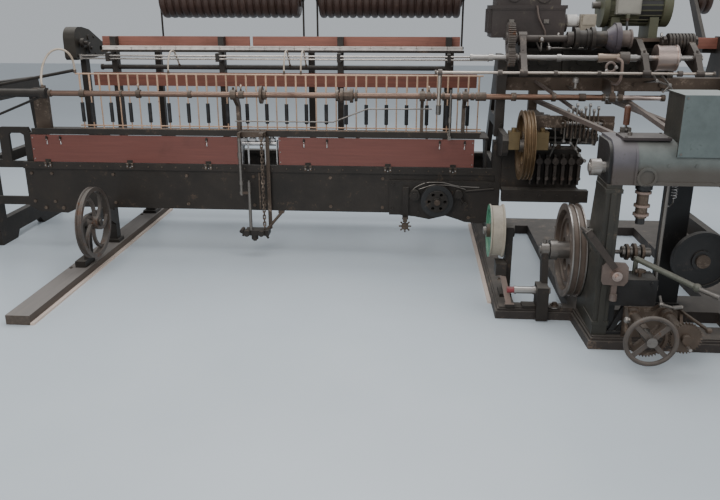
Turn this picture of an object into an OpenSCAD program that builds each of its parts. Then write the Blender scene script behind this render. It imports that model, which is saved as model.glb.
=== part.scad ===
// Power loom: long sectional textile machine with a gear head at the right.
// Millimetres, +X along the machine, +Y to the rear, +Z up, origin at the middle of the footprint.

/* [Floor parts] */
// Height of the timber floor sill at the left
sill_h = 60; // [50:1:70]
// Height of the cast base plate at the right
base_h = 70; // [60:1:80]
// Thickness of the pale floor battens
batten_h = 14; // [8:1:20]

/* [Long girder] */
// Underside of the long girders above the floor
girder_z0 = 340; // [330:1:350]
// Thickness of the girder web
web_t = 25; // [15:1:30]
// Depth of the girder top flange
flange_d = 90; // [80:1:95]
// Thickness of the girder flanges
flange_t = 25; // [16:1:30]
// Height of the ledge bar that carries the flap hinges
ledge_h = 50; // [40:1:52]

/* [Flaps and shelf] */
// Thickness of the two hinged flaps
flap_t = 14; // [10:1:16]
// Radius of the hinge knuckles
knuckle_r = 5; // [4:0.5:5.5]
// Thickness of the shelf plate above the flaps
shelf_t = 10; // [6:1:14]
// Height of the front lip of the shelf
lip_h = 43; // [38:1:48]

/* [Rod ladder] */
// Radius of the upright rods
rod_r = 5; // [4:0.5:6]
// Radius of the black sleeves on every other rod
sleeve_r = 14; // [10:1:16]
// Height of the top rail of the ladder
ladder_top = 1333; // [1325:1:1340]

/* [Shafts] */
// Radius of the long line shaft
shaft_r = 20; // [16:1:22]
// Radius of the two carrier rods
carrier_r = 6.5; // [5:0.5:7]
// Radius of the starting rod
start_r = 9; // [7:0.5:10]
// Radius of the upper gear shaft
gear_shaft_r = 23; // [18:1:25]
// Radius of the upper collar shaft
collar_shaft_r = 17; // [14:1:20]
// Radial play of every turning or sliding part
play = 0.3; // [0.2:0.05:0.4]

/* [Rollers and wheels] */
// Outer radius of the corrugated rollers
roller_r = 150; // [140:1:150]
// Outer radius of the left wheel
left_wheel_r = 250; // [235:1:255]
// Outer radius of the big belt pulley
big_r = 285; // [265:1:290]
// Outer radius of the green pulley
green_r = 165; // [150:1:175]
// Outer radius of the grooved gold pulley
gold_r = 235; // [220:1:240]
// Outer radius of the handwheel rim
hand_r = 138; // [128:1:142]

/* [Hidden] */
$fn = 48;
girder_z1 = 640;
front_y = 350;
ledge_y = front_y - 20;
hinge_y = ledge_y - 7;
hinge_z = girder_z1 + ledge_h;
shelf_z = 902;
shelf_top = shelf_z + shelf_t;
flap_z0 = hinge_z + 4;
flap_z1 = shelf_z - 4;
flap_y = front_y - 14;
shaft_y = 250;
shaft_z = 1215;
ladder_y = 500;
rod_n = 41;
rod_x0 = -2004;
rod_pitch = 74.5;
bracket_xs = [-775, 566, 864];
post_xs = [-1830, -980, -60, 760];
cover_x = -2122;
post_y0 = 770;
post_y1 = 840;
girder_x0 = -2450;
girder_x1 = 1110;
rear_y1 = 1280;
roller_y = 1250;
roller_z = 1872;
carrier_y = 650;
carrier_zs = [1434, 1456];
tube_y = 800;
tube_z = 1362;
tube_r = 17.5;
beam_y0 = 500;
beam_y1 = 600;
beam_z0 = 1233;
beam_z1 = 1326;
table_z = 1603;
end_x = 2740;
left_x = -2790;
right_x = end_x + 60;
sill_y0 = -1100;
sill_y1 = 1540;
hand_y = -1500;
gear_m = 5;
gear_y = 250;
gear_z = 1604;
gear_n = 40;
pinion_n = 22;
mesh_angle = 40.5;
upper_mesh = gear_m * (gear_n + pinion_n) / 2;
collar_y = gear_y - upper_mesh * sin(mesh_angle);
collar_z = gear_z - upper_mesh * cos(mesh_angle);
start_y = 50;
start_z = 1394;
gold_y = 50;
gold_z = 915;
gold_shaft_r = 20;
bank_y = 100;
bank_z = 1060;
big_y = -650;
big_z = 401;
big_shaft_r = 25;
green_y = -550;
green_z = 486;
stud_r = 15;
wheel_y = -150;
wheel_z = 365;
house_y0 = -1150;
house_y1 = -850;
house_z0 = 925;
house_z1 = 1152;
hand_x = 1727;
hand_z = 201;
hand_n = 42;
crank_n = 32;
crank_x = hand_x + gear_m * (hand_n + crank_n) / 2;
lever_y = -890;
disc_x = 2180;
disc_z = 420;
rear_disc_y = -700;
step_y = -950;
step_z = 495;
chain_top = 925;
chain_low = 211;

// Box between two corners
module bar(x0, x1, y0, y1, z0, z1)
    translate([x0, y0, z0])
        cube([x1 - x0, y1 - y0, z1 - z0]);

// Cylinder along X
module xcyl(x0, x1, y, z, r)
    translate([x0, y, z])
        rotate([0, 90, 0])
            cylinder(r = r, h = x1 - x0);

// Cylinder along Y
module ycyl(y0, y1, x, z, r)
    translate([x, y1, z])
        rotate([90, 0, 0])
            cylinder(r = r, h = y1 - y0);

// Cylinder along Z
module zcyl(z0, z1, x, y, r)
    translate([x, y, z0])
        cylinder(r = r, h = z1 - z0);

// Turn the Z axis into the line from p to q
module aim(p, q) {
    d = q - p;
    translate(p)
        rotate([0, acos(d[2] / norm(d)), atan2(d[1], d[0])])
            children();
}

// Round rod from p to q
module rod(p, q, r)
    aim(p, q)
        cylinder(r = r, h = norm(q - p));

// Flat bar from p to q, w wide and t thick
module flat(p, q, w, t)
    aim(p, q)
        translate([-t / 2, -w / 2, 0])
            cube([t, w, norm(q - p)]);

// Plate in the YZ plane: the outline is drawn as [y, z]
module yz_plate(x0, x1)
    translate([x0, 0, 0])
        rotate([90, 0, 90])
            linear_extrude(height = x1 - x0)
                children();

// Plate in the XZ plane: the outline is drawn as [x, z]
module xz_plate(y0, y1)
    translate([0, y1, 0])
        rotate([90, 0, 0])
            linear_extrude(height = y1 - y0)
                children();

// Turned part around X: the profile is drawn as [radius, x]
module turned_x(y, z)
    translate([0, y, z])
        rotate([0, 90, 0])
            rotate_extrude()
                children();

// Turned part around Y: the profile is drawn as [radius, -y]
module turned_y(x, z)
    translate([x, 0, z])
        rotate([90, 0, 0])
            rotate_extrude()
                children();

// Hexagon bolt head on a face that looks to -Y
module head_y(x, z, y, r, h)
    translate([x, y, z])
        rotate([90, 0, 0])
            cylinder(r = r, h = h, $fn = 6);

// Spur gear outline with n teeth, a gap at angle zero
module gear2d(m, n) {
    rf = m * n / 2 - 1.25 * m;
    ra = m * n / 2 + 0.8 * m;
    half = 360 / n * 0.21;
    circle(r = rf + 0.2);
    for (i = [0 : n - 1])
        rotate(360 / n * (i + 0.5))
            polygon([
                [rf - 1, -rf * sin(half * 1.35)],
                [ra * cos(half * 0.55), -ra * sin(half * 0.55)],
                [ra * cos(half * 0.55), ra * sin(half * 0.55)],
                [rf - 1, rf * sin(half * 1.35)]]);
}

// Round tube along a list of points, closed at both ends
module cord(pts, r, sides) {
    n = len(pts);
    function way(i) = pts[min(i + 1, n - 1)] - pts[max(i - 1, 0)];
    function side(i) = let (w = way(i) / norm(way(i)), a = cross(w, [0.31, 0.87, 0.13])) a / norm(a);
    rings = [for (i = [0 : n - 1]) let (w = way(i) / norm(way(i)), a = side(i), b = cross(w, a))
        for (k = [0 : sides - 1]) pts[i] + r * (a * cos(360 / sides * k) + b * sin(360 / sides * k))];
    walls = [for (i = [0 : n - 2]) for (k = [0 : sides - 1])
        [i * sides + k, i * sides + (k + 1) % sides,
         (i + 1) * sides + (k + 1) % sides, (i + 1) * sides + k]];
    low = [for (k = [0 : sides - 1]) sides - 1 - k];
    high = [for (k = [0 : sides - 1]) (n - 1) * sides + k];
    polyhedron(points = rings, faces = [for (f = concat(walls, [low, high])) [for (j = [len(f) - 1 : -1 : 0]) f[j]]], convexity = 6);
}

// Timber sill on the floor at the left
module left_sill() color([0.30, 0.26, 0.23]) {
    difference() {
        bar(-1900, -1750, sill_y0, sill_y1, 0, sill_h);
        translate([-1900, sill_y0, sill_h - 18])
            rotate([40, 0, 0])
                translate([-5, -60, 0])
                    cube([160, 60, 60]);
    }
    for (y = [-260, -80, 1150, 1390])
        zcyl(sill_h, sill_h + 8, -1878, y, 12);
}

// Pale boards along the sill and along the base plate
module floor_battens() color([0.84, 0.76, 0.68]) {
    bar(-1750, -1726, sill_y0, sill_y1, 0, batten_h);
    bar(1006, 1030, -560, 1240, 0, batten_h);
}

// Outline of the base plate, drawn in by the given step
module base_outline(s)
    polygon([[1030 + s, -800 + s], [1480 + s, -800 + s], [1500 + s, -1190 + s],
        [2800 - s, -1190 + s], [2800 - s, 1250 - s], [1030 + s, 1250 - s]]);

// Cast base plate of the head end
module right_base() color([0.24, 0.22, 0.20])
    difference() {
        union() {
            linear_extrude(height = base_h - 22)
                base_outline(0);
            linear_extrude(height = base_h - 8)
                base_outline(12);
            linear_extrude(height = base_h)
                base_outline(22);
        }
        bar(1150, 1480, -700, 1000, -1, base_h + 1);
        bar(1700, 2350, -1000, -780, -1, base_h + 1);
        bar(1700, 2350, -520, 1000, -1, base_h + 1);
    }

// End frame at the far left with its window casting and the fixed end pipe
module left_end_frame() color([0.17, 0.16, 0.15]) {
    yz_plate(left_x, left_x + 60)
        difference() {
            polygon([[380, 0], [600, 0], [640, 60], [1000, 60], [1060, 0], [1400, 0],
                [1400, 60], [1340, 900], [1280, 1240], [460, 1260], [215, 1260], [205, 1160],
                [330, 1130], [350, 1000], [350, 300]]);
            polygon([[480, 200], [1260, 200], [1240, 620], [480, 620]]);
            polygon([[480, 700], [1230, 700], [1190, 1110], [480, 1110]]);
        }
    bar(-2730, girder_x0, front_y, front_y + web_t, girder_z0 + 10, girder_z0 + 74);
    bar(-2730, -2620, 360, 385, 640, 700);
    bar(-2730, -2620, 360, 385, 880, 950);
    xz_plate(360, 385)
        difference() {
            polygon([[-2620, girder_z1], [-2380, girder_z1], [-2370, 900], [-2390, 950],
                [-2600, 950], [-2620, 920]]);
            polygon([[-2545, 690], [-2427, 690], [-2427, 890], [-2450, 905], [-2530, 905], [-2545, 890]]);
        }
    xcyl(-2730, -2160, shaft_y, shaft_z, 30);
    xcyl(-2200, -2150, shaft_y, shaft_z, 38);
    rod([-2735, 560, 1228], [-2054, 560, 1355], 12);
    rod([-2170, 250, 1200], [-2735, 395, 990], 9);
}

// Stand on the sill with the axle of the left wheel
module left_stand() color([0.19, 0.18, 0.17]) {
    bar(-1860, -1780, 352, 420, sill_h, girder_z0);
    bar(-1880, -1765, 335, 440, sill_h, sill_h + 25);
    yz_plate(-1800, -1775)
        polygon([[360, 310], [360, 200], [200, 300], [-90, 335], [-110, sill_h],
            [-210, sill_h], [-190, 385], [-120, 410], [200, 385]]);
    bar(-1850, -1775, -250, -90, sill_h, sill_h + 45);
    xcyl(-1812, -1756, wheel_y, wheel_z, 42);
    xcyl(-1756, -1680, wheel_y, wheel_z, stud_r);
    xcyl(-1680, -1668, wheel_y, wheel_z, 24);
}

// Front girder with flanges, belly, ribs and bolts
module front_girder() color([0.13, 0.12, 0.10]) {
    xz_plate(front_y, front_y + web_t)
        polygon([[girder_x0, girder_z0], [-2380, 300], [-2150, 290], [-2040, girder_z0],
            [girder_x1, girder_z0], [girder_x1, girder_z1], [girder_x0, girder_z1]]);
    bar(girder_x0, girder_x1, front_y, front_y + flange_d, girder_z1 - flange_t, girder_z1);
    bar(-2040, girder_x1, front_y, front_y + 60, girder_z0, girder_z0 + flange_t);
    for (x = [-2410, -1560, -1260, -700, -360, 200, 480, 1060])
        bar(x, x + 20, front_y, front_y + 58, girder_z0, girder_z1);
    bar(-642, -630, front_y - 6, front_y, girder_z0 + 8, girder_z1 - 8);
    for (x = [-2400, -2240, -1760, -1190, -680, -600, -100, 290])
        for (z = [girder_z0 + 40, girder_z1 - 40])
            head_y(x, z, front_y, 13, 8);
    for (x = [-2320, -2180])
        head_y(x, 330, front_y, 15, 9);
}

// Bolted drive plate at the right of the girder with the disc stud and the star wheel bracket
module drive_plate() color([0.15, 0.14, 0.12]) {
    xz_plate(ledge_y, front_y)
        polygon([[340, girder_z0 - 10], [420, girder_z0 - 10], [540, 318], [640, 300], [760, 330],
            [860, 300], [900, 285], [1000, 275], [1110, 290], [1110, 590], [340, 590]]);
    for (p = [[365, 370], [365, 560], [610, 570], [860, 570], [1080, 565], [1080, 340], [930, 320], [560, 350]])
        head_y(p[0], p[1], ledge_y, 13, 9);
    ycyl(ledge_y - 26, ledge_y, 692, 455, 40);
    ycyl(ledge_y - 100, ledge_y - 26, 692, 455, 12);
    ycyl(ledge_y - 108, ledge_y - 100, 692, 455, 22);
    ycyl(ledge_y - 50, ledge_y, 528, 492, 38);
    ycyl(ledge_y - 62, ledge_y - 50, 528, 492, 20);
    ycyl(ledge_y - 40, ledge_y, 850, 500, 30);
    ycyl(ledge_y - 30, ledge_y, 900, 420, 20);
    rod([850, ledge_y - 30, 500], [900, ledge_y - 22, 420], 8);
    rod([900, ledge_y - 5, 520], [1104, ledge_y - 5, 540], 8);
    bar(440, 484, ledge_y - 20, ledge_y, 300, 545);
    bar(446, 478, 235, ledge_y, 300, 318);
    ycyl(238, 258, 462, 267, 26);
    bar(455, 469, 240, 256, 285, 305);
    for (a = [0 : 45 : 315])
        rod([462, 248, 267], [462 + 46 * cos(a), 248, 267 + 46 * sin(a)], 6);
}

// Rear girder with its feet and the cross members to the front girder
module rear_girder() color([0.13, 0.12, 0.10]) {
    bar(-2730, girder_x1, rear_y1 - web_t, rear_y1, girder_z0, girder_z1);
    bar(-2730, girder_x1, rear_y1 - 80, rear_y1, girder_z1 - flange_t, girder_z1);
    bar(-2730, girder_x1, rear_y1 - 60, rear_y1, girder_z0, girder_z0 + flange_t);
    for (x = concat([cover_x], post_xs))
        bar(x - 30, x + 30, front_y + web_t, rear_y1 - web_t, girder_z0 + 60, girder_z0 + 120);
    bar(-1860, -1780, rear_y1 - 65, rear_y1, sill_h, girder_z0);
    bar(-1880, -1765, rear_y1 - 90, rear_y1 + 60, sill_h, sill_h + 25);
}

// Knuckle positions of one flap hinge, left end of each hinge
hinge_xs = [-2275, -1640, -1040, -290, 300, 775];
hinge_w = 54;

// Ledge bar with the fixed hinge leaves, knuckles and pins
module ledge_bar() color([0.16, 0.14, 0.12]) {
    bar(girder_x0, girder_x1, ledge_y, ledge_y + 30, girder_z1, hinge_z);
    for (x = hinge_xs) {
        bar(x, x + 16, hinge_y, ledge_y, hinge_z - 36, hinge_z - 4);
        bar(x + 38, x + hinge_w, hinge_y, ledge_y, hinge_z - 36, hinge_z - 4);
        xcyl(x, x + 16, hinge_y, hinge_z, knuckle_r);
        xcyl(x + 38, x + hinge_w, hinge_y, hinge_z, knuckle_r);
        xcyl(x, x + hinge_w, hinge_y, hinge_z, 2);
    }
}

// Shelf above the flaps with lip, ribs and the pale fittings between the flaps
module shelf() color([0.20, 0.16, 0.14]) {
    bar(-2370, 1050, front_y - 10, 640, shelf_z, shelf_top);
    bar(-2350, 985, front_y - 10, front_y + 2, shelf_z, shelf_z + lip_h);
    for (x = [-2365, -1860, -1340, -790, -470, 90, 600, 1030])
        yz_plate(x, x + 14)
            polygon([[362, girder_z1], [430, girder_z1], [600, shelf_z], [362, shelf_z]]);
    xcyl(-764, -496, 388, 846, 19);
    for (x = [-744, -680, -614, -536]) {
        zcyl(shelf_z - 40, shelf_z, x, 388, 15);
        bar(x - 24, x + 24, 362, 410, 864, 884);
    }
    for (x = [-712, -584])
        bar(x - 6, x + 6, 364, 372, girder_z1, 850);
    for (x = [-764, -502])
        bar(x, x + 6, 364, 410, girder_z1, 868);
}

// Rear posts, roller columns, rear rail and bearing eyes
module rear_posts() color([0.15, 0.14, 0.13]) {
    for (x = post_xs)
        difference() {
            union() {
                bar(x - 22, x + 22, post_y0, post_y1, girder_z0 + 120, 1592);
                bar(x - 12, x + 12, carrier_y - 20, post_y0, 1414, 1476);
            }
            xcyl(x - 30, x + 30, tube_y, tube_z, tube_r + play);
            for (z = carrier_zs)
                xcyl(x - 30, x + 30, carrier_y, z, carrier_r + play);
        }
    bar(cover_x - 22, cover_x + 22, 860, 930, girder_z0 + 120, 1420);
    for (x = [-1640, -345, 800])
        bar(x - 25, x + 25, roller_y - 25, roller_y + 25, girder_z1, 1480);
    bar(-1680, 900, roller_y - 30, roller_y + 30, 1480, 1500);
    for (x = [-1585, -405, -291, 884])
        difference() {
            union() {
                zcyl(1500, roller_z - 15, x, roller_y, 8);
                xcyl(x - 8, x + 8, roller_y, roller_z, 24);
            }
            xcyl(x - 20, x + 20, roller_y, roller_z, 12 + play);
        }
}

// Reddish board behind the ladder
module back_board() color([0.48, 0.24, 0.17])
    bar(-2000, 980, post_y0 - 20, post_y0, 1222, 1324);

// Dark tube held in the rear posts
module dark_tube() color([0.22, 0.20, 0.19]) {
    xcyl(-1950, 800, tube_y, tube_z, tube_r);
    for (x = [-1950, 785])
        xcyl(x, x + 15, tube_y, tube_z, tube_r + 5);
}

// Boards on the rear posts
module top_boards() color([0.58, 0.30, 0.20]) {
    bar(-1939, -770, post_y1, post_y1 + 22, 1512, 1592);
    bar(-745, 847, post_y1, post_y1 + 22, 1512, 1592);
    bar(2584, end_x, post_y1, post_y1 + 22, 1512, 1592);
}

// Dark rail that carries the segments
module segment_rail() color([0.20, 0.19, 0.18])
    bar(-1910, 874, post_y0 - 35, post_y0, 1478, 1496);

// Row of pale segment plates
module segments() color([0.84, 0.78, 0.74])
    for (i = [0 : 23])
        difference() {
            bar(-1902 + i * 115.3, -1902 + i * 115.3 + 112, post_y0 - 32, post_y0 - 4, 1496, 1524);
            bar(-1902 + i * 115.3 + 8, -1902 + i * 115.3 + 104, post_y0 - 33, post_y0 - 27, 1503, 1517);
        }

// Upright rods between three rails
module rod_ladder() color([0.72, 0.60, 0.50]) {
    for (i = [0 : rod_n - 1]) {
        zcyl(shelf_top + 2, ladder_top, rod_x0 + i * rod_pitch, ladder_y, rod_r);
        zcyl(1216, ladder_top, rod_x0 + i * rod_pitch, ladder_y, rod_r + 2);
    }
    bar(rod_x0 - 30, rod_x0 + 40 * rod_pitch + 30, ladder_y - 9, ladder_y + 9, shelf_top, shelf_top + 14);
    xcyl(rod_x0 - 30, rod_x0 + 40 * rod_pitch + 30, ladder_y, shelf_top + 36, 5);
    xcyl(rod_x0 - 30, rod_x0 + 40 * rod_pitch + 30, ladder_y, ladder_top, 6);
}

// Black sleeves around the first and every second rod
module rod_sleeves() color([0.10, 0.10, 0.10])
    for (i = concat([0], [for (k = [1 : 2 : rod_n - 1]) k]))
        difference() {
            zcyl(975, 1120, rod_x0 + i * rod_pitch, ladder_y, sleeve_r);
            zcyl(974, 1121, rod_x0 + i * rod_pitch, ladder_y, rod_r + play);
        }

// Brackets of the line shaft, the left post and the upright lever rod
module shaft_brackets() color([0.20, 0.18, 0.16]) {
    for (x = bracket_xs)
        difference() {
            union() {
                yz_plate(x - 12, x + 12)
                    polygon([[front_y + 2, shelf_top], [front_y + 70, shelf_top], [front_y + 60, 1120],
                        [330, shaft_z + 14], [shaft_y, shaft_z + 22], [shaft_y, shaft_z - 22], [front_y + 2, 1120]]);
                xcyl(x - 20, x + 20, shaft_y, shaft_z, shaft_r + 16);
                zcyl(shaft_z + 30, shaft_z + 52, x, shaft_y, 8);
            }
            xcyl(x - 30, x + 30, shaft_y, shaft_z, shaft_r + play);
        }
    bar(-2350, -2240, 430, 470, shelf_top, 1230);
    bar(-2362, -2228, 418, 482, shelf_top, shelf_top + 16);
    zcyl(1230, 1250, -2262, 450, 12);
    rod([760, 200, 935], [760, 200, 1264], 7);
    bar(750, 770, 192, front_y - 10, 918, 942);
    zcyl(1040, 1075, 760, 200, 12);
    rod([-800, 356, 1012], [-76, 356, 1012], 5);
    rod([-76, 356, 1012], [171, 356, 1108], 5);
    rod([171, 356, 1108], [637, 356, 1113], 5);
    for (p = [[-76, 1012], [171, 1108]])
        translate([p[0], 356, p[1]])
            sphere(r = 5.5);
}

// Gear case at the upper left
module guard_cover() color([0.16, 0.15, 0.15]) {
    yz_plate(cover_x - 45, cover_x + 45)
        difference() {
            union() {
                polygon([[650, 1440], [670, 1420], [1040, 1420], [1250, 1440], [1250, 1500],
                    [1080, 1575], [930, 1640], [800, 1662], [740, 1662], [650, 1580]]);
                translate([738, 1575])
                    circle(r = 88);
            }
            translate([1120, 1485])
                circle(r = 22);
        }
    xcyl(cover_x + 45, cover_x + 110, 738, 1545, 14);
    xcyl(cover_x + 60, cover_x + 84, 738, 1545, 34);
    xcyl(cover_x + 45, cover_x + 92, 860, 1500, 12);
    xcyl(cover_x + 62, cover_x + 80, 860, 1500, 42);
    xcyl(cover_x + 45, cover_x + 53, 900, 1580, 20);
    for (p = [[690, 1450], [840, 1450], [1010, 1450], [1000, 1580]])
        xcyl(cover_x + 45, cover_x + 52, p[0], p[1], 10);
}

// Cream hoses over the ladder and the motor lead
module hoses() color([0.80, 0.74, 0.66]) {
    cord([[-2034, ladder_y, ladder_top + 6], [-2034, ladder_y, 1362], [-2034, 499, 1392], [-2037, 494, 1430],
        [-2048, 484, 1468], [-2074, 468, 1500], [-2110, 448, 1513], [-2148, 425, 1504], [-2176, 400, 1476],
        [-2194, 370, 1434], [-2200, 336, 1386], [-2196, 302, 1340], [-2186, 270, 1304], [-2176, 252, 1278],
        [-2175, 250, 1266], [-2175, shaft_y, shaft_z + 38]], 8, 8);
    for (x = [-1318, -450, -325])
        cord([[x, ladder_y, ladder_top + 6], [x, ladder_y, 1368], [x, 510, 1410], [x, 540, 1458], [x, 588, 1490],
            [x, 640, 1495], [x, 690, 1474], [x, 734, 1430], [x, tube_y - (tube_r + 22) / sqrt(2), tube_z + (tube_r + 22) / sqrt(2)],
            [x, tube_y - tube_r / sqrt(2), tube_z + tube_r / sqrt(2)]], 6, 8);
    cord([[1947, 388, 1735], [1947, 388, 1717], [1947, 386, 1698], [1948, 383, 1678], [1949, 386, 1658],
        [1950, 398, 1640], [1950, 412, 1630], [1950, 419, 1622], [1950, 420, 1614], [1950, 420, table_z]], 8, 8);
}

// Main side frame between the girders and the gear head
module mid_frame() color([0.17, 0.17, 0.16]) {
    yz_plate(girder_x1, girder_x1 + 40)
        difference() {
            polygon([[330, base_h], [1245, base_h], [rear_y1, 200], [rear_y1, 640], [1050, 1000],
                [760, 1480], [330, 1480], [330, 985], [40, 985], [5, 950], [5, 870], [40, 840], [330, 790]]);
            polygon([[430, 160], [1200, 160], [1200, 320], [430, 320]]);
            polygon([[430, 380], [1160, 380], [1160, 580], [430, 580]]);
            polygon([[430, 680], [1110, 680], [940, 960], [430, 960]]);
            polygon([[430, 1040], [900, 1040], [820, 1180], [430, 1180]]);
        }
    bar(1085, girder_x1 + 40, 330, 420, girder_z1 + ledge_h, 890);
    bar(1085, girder_x1 + 40, 330, 420, 925, 1480);
    for (z = [1010, 1120, 1360, 1450])
        head_y(1130, z, 330, 12, 8);
    bar(1150, 1690, 300, 440, 566, 845);
    bar(1150, 1702, 292, 448, 825, 845);
    bar(1150, 1756, 200, 262, 480, 566);
    bar(1150, 1700, 262, 440, 540, 566);
    bar(1640, 1700, 200, 262, base_h, 480);
    bar(1626, 1714, 186, 276, base_h, base_h + 20);
    for (x = [1340 : 56 : 1676]) {
        bar(x, x + 14, 240, 300, 600, 812);
        ycyl(222, 240, x + 7, 770, 24);
        bar(x - 4, x + 18, 226, 240, 640, 742);
        ycyl(214, 226, x + 7, 650, 13);
    }
    zcyl(845, 872, 1536, 350, 30);
    for (p = [[1180, 600], [1180, 800], [1180, 700]])
        head_y(p[0], p[1], 300, 14, 8);
    for (p = [[1190, 523], [1300, 523], [1420, 523], [1540, 523], [1670, 523], [1670, 300], [1670, 180]])
        head_y(p[0], p[1], 200, 12, 8);
}

// Upper beam with the table, the risers, the hanger and the lever cheeks
module upper_beam() color([0.24, 0.20, 0.17])
    difference() {
        union() {
            bar(girder_x1 + 40, end_x, beam_y0, beam_y1, beam_z0, beam_z1);
            bar(girder_x1 + 40, 2400, 400, 700, table_z - 23, table_z);
            for (x = [1180, 1560, 1960, 2300])
                bar(x, x + 40, beam_y0 + 10, beam_y1 - 10, beam_z1, table_z - 23);
            for (x = [1190, 1310, 1480, 1640, 1800, 2080, 2260])
                head_y(x, 1280, beam_y0, 16, 10);
            bar(1340, 1400, beam_y0, beam_y0 + 60, 850, beam_z0);
            yz_plate(1340, 1400)
                polygon([[90, 880], [500, 850], [500, 1100], [140, 1100], [140, 950], [90, 950]]);
            bar(1400, 1872, 150, 180, 1020, 1100);
            bar(1220, 2340, 540, 556, beam_z1, table_z - 23);
            for (x = [1270, 1420, 1700, 1860, 2150])
                ycyl(516, 540, x, 1450, 40);
            for (x = [1330, 1480, 1640, 1780, 2060, 2240])
                ycyl(524, 540, x, 1380, 18);
            bar(1240, 2320, 500, 540, 1508, 1530);
            xz_plate(140, 180)
                polygon([[1800, 1060], [1872, 1060], [1866, 960], [1850, 900], [1820, 886], [1826, 950], [1806, 1000]]);
            flat([1392, 330, 1040], [1800, 330, 892], 60, 30);
            for (i = [0 : 8]) {
                bar(1408 + 44 * i, 1438 + 44 * i, 205, 470, 1050 - 16 * i, 1076 - 16 * i);
                bar(1414 + 44 * i, 1432 + 44 * i, 205, 230, 1076 - 16 * i, 1100 - 16 * i);
                bar(1416 + 44 * i, 1430 + 44 * i, 320, 340, 1010 - 16 * i, 1052 - 16 * i);
            }
            bar(1890, 1930, beam_y0, beam_y0 + 40, 1140, beam_z0);
            bar(1520, 1532, 60, 150, 1040, 1080);
            bar(1778, 1790, 60, 150, 1040, 1080);
            bar(1974, 2014, beam_y0, beam_y0 + 40, 1150, beam_z0);
            yz_plate(1850, 1870)
                polygon([[beam_y0, beam_z0], [beam_y0, beam_z1], [300, 1320], [shaft_y, 1300],
                    [shaft_y - 34, shaft_z], [shaft_y, shaft_z - 34], [300, 1200]]);
            xcyl(1840, 1880, shaft_y, shaft_z, 34);
        }
        xcyl(1830, 1890, shaft_y, shaft_z, 15 + play);
        xcyl(1500, 1800, bank_y, bank_z, 8 + play);
    }

// Gearbox casing on the table
module gearbox_casing() color([0.20, 0.22, 0.18]) {
    bar(1034, 1532, 400, 700, table_z, 1807);
    bar(1024, 1542, 392, 708, 1795, 1819);
    bar(1060, 1500, 420, 680, 1819, 1950);
    bar(1045, 1515, 406, 694, 1930, 1944);
    for (y = [430 : 48 : 670])
        bar(1012, 1034, y, y + 14, table_z + 30, 1795);
    for (x = [1150, 1386]) {
        bar(x, x + 34, 382, 400, 1700, 1726);
        bar(x + 8, x + 26, 376, 382, 1706, 1720);
    }
    bar(1034, 1532, 396, 400, 1786, 1795);
    ycyl(404, 420, 1180, 1880, 40);
    ycyl(404, 420, 1380, 1880, 46);
    zcyl(1950, 1985, 1140, 520, 26);
    zcyl(1950, 1975, 1400, 560, 34);
    xcyl(1532, 1552, 470, 1700, 60);
    xcyl(1552, 1622, 470, 1716, 42);
    xcyl(1622, 1636, 470, 1716, 30);
    bar(1640, 1742, 402, 470, table_z, 1760);
    bar(1650, 1732, 394, 402, 1690, 1750);
    bar(1600, 1642, 455, 485, table_z, 1690);
}

// Bearing castings of the upper shafts and the ribbed coupling
module upper_bearings() color([0.26, 0.24, 0.22])
    difference() {
        union() {
            yz_plate(1207, 1247)
                polygon([[gear_y, 1640], [400, 1618], [400, 1580], [480, 1580], [480, 1500], [300, 1452],
                    [60, 1372], [36, 1410], [130, 1512], [205, 1620]]);
            xcyl(1199, 1255, gear_y, gear_z, 46);
            for (x = [1996, 2335]) {
                yz_plate(x, x + 38)
                    polygon([[400, 1600], [400, 1580], [480, 1580], [480, 1500], [300, 1452],
                        [60, 1372], [36, 1410], [130, 1512], [300, 1600]]);
            }
            for (x = [1199, 1990, 2329]) {
                xcyl(x, x + 50, collar_y, collar_z, 32);
                xcyl(x, x + 50, start_y, start_z, 22);
                zcyl(collar_z + 25, collar_z + 50, x + 25, collar_y, 7);
            }
            yz_plate(1530, 1558)
                polygon([[gear_y, 1640], [400, 1618], [400, 1580], [480, 1580], [480, 1540],
                    [300, 1545], [214, 1580]]);
            xcyl(1524, 1564, gear_y, gear_z, 46);
            for (x = [2182, 2386])
                yz_plate(x, x + 20)
                    polygon([[400, 1602], [400, 1580], [480, 1580], [480, 1530], [330, 1530], [300, 1600], [330, 1620]]);
            xcyl(2176, 2412, 330, 1574, 18);
            for (x = [2211 : 22 : 2365])
                xcyl(x, x + 14, 330, 1574, 65);
            xcyl(2211, 2379, 330, 1574, 56);
        }
        xcyl(1190, 1600, gear_y, gear_z, gear_shaft_r + play);
        xcyl(1190, 2400, collar_y, collar_z, collar_shaft_r + play);
        xcyl(1190, 2400, start_y, start_z, start_r + play);
    }

// Finned motor with its terminal box and feet
module motor() color([0.33, 0.34, 0.24]) {
    xcyl(1830, 2190, 550, 1819, 132);
    xcyl(1792, 1830, 550, 1819, 150);
    xcyl(2190, 2251, 550, 1819, 146);
    xcyl(2251, 2262, 550, 1819, 90);
    xcyl(1740, 1792, 550, 1819, 24);
    for (a = [0 : 15 : 345])
        translate([1830, 550, 1819])
            rotate([a, 0, 0])
                translate([0, -3, 128])
                    cube([360, 6, 12]);
    for (x = [1850, 2110])
        bar(x, x + 60, 430, 670, table_z, 1740);
    bar(1864, 2030, 380, 440, 1760, 1880);
    bar(1872, 2022, 372, 380, 1768, 1872);
    zcyl(1735, 1760, 1947, 388, 16);
}

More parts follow.
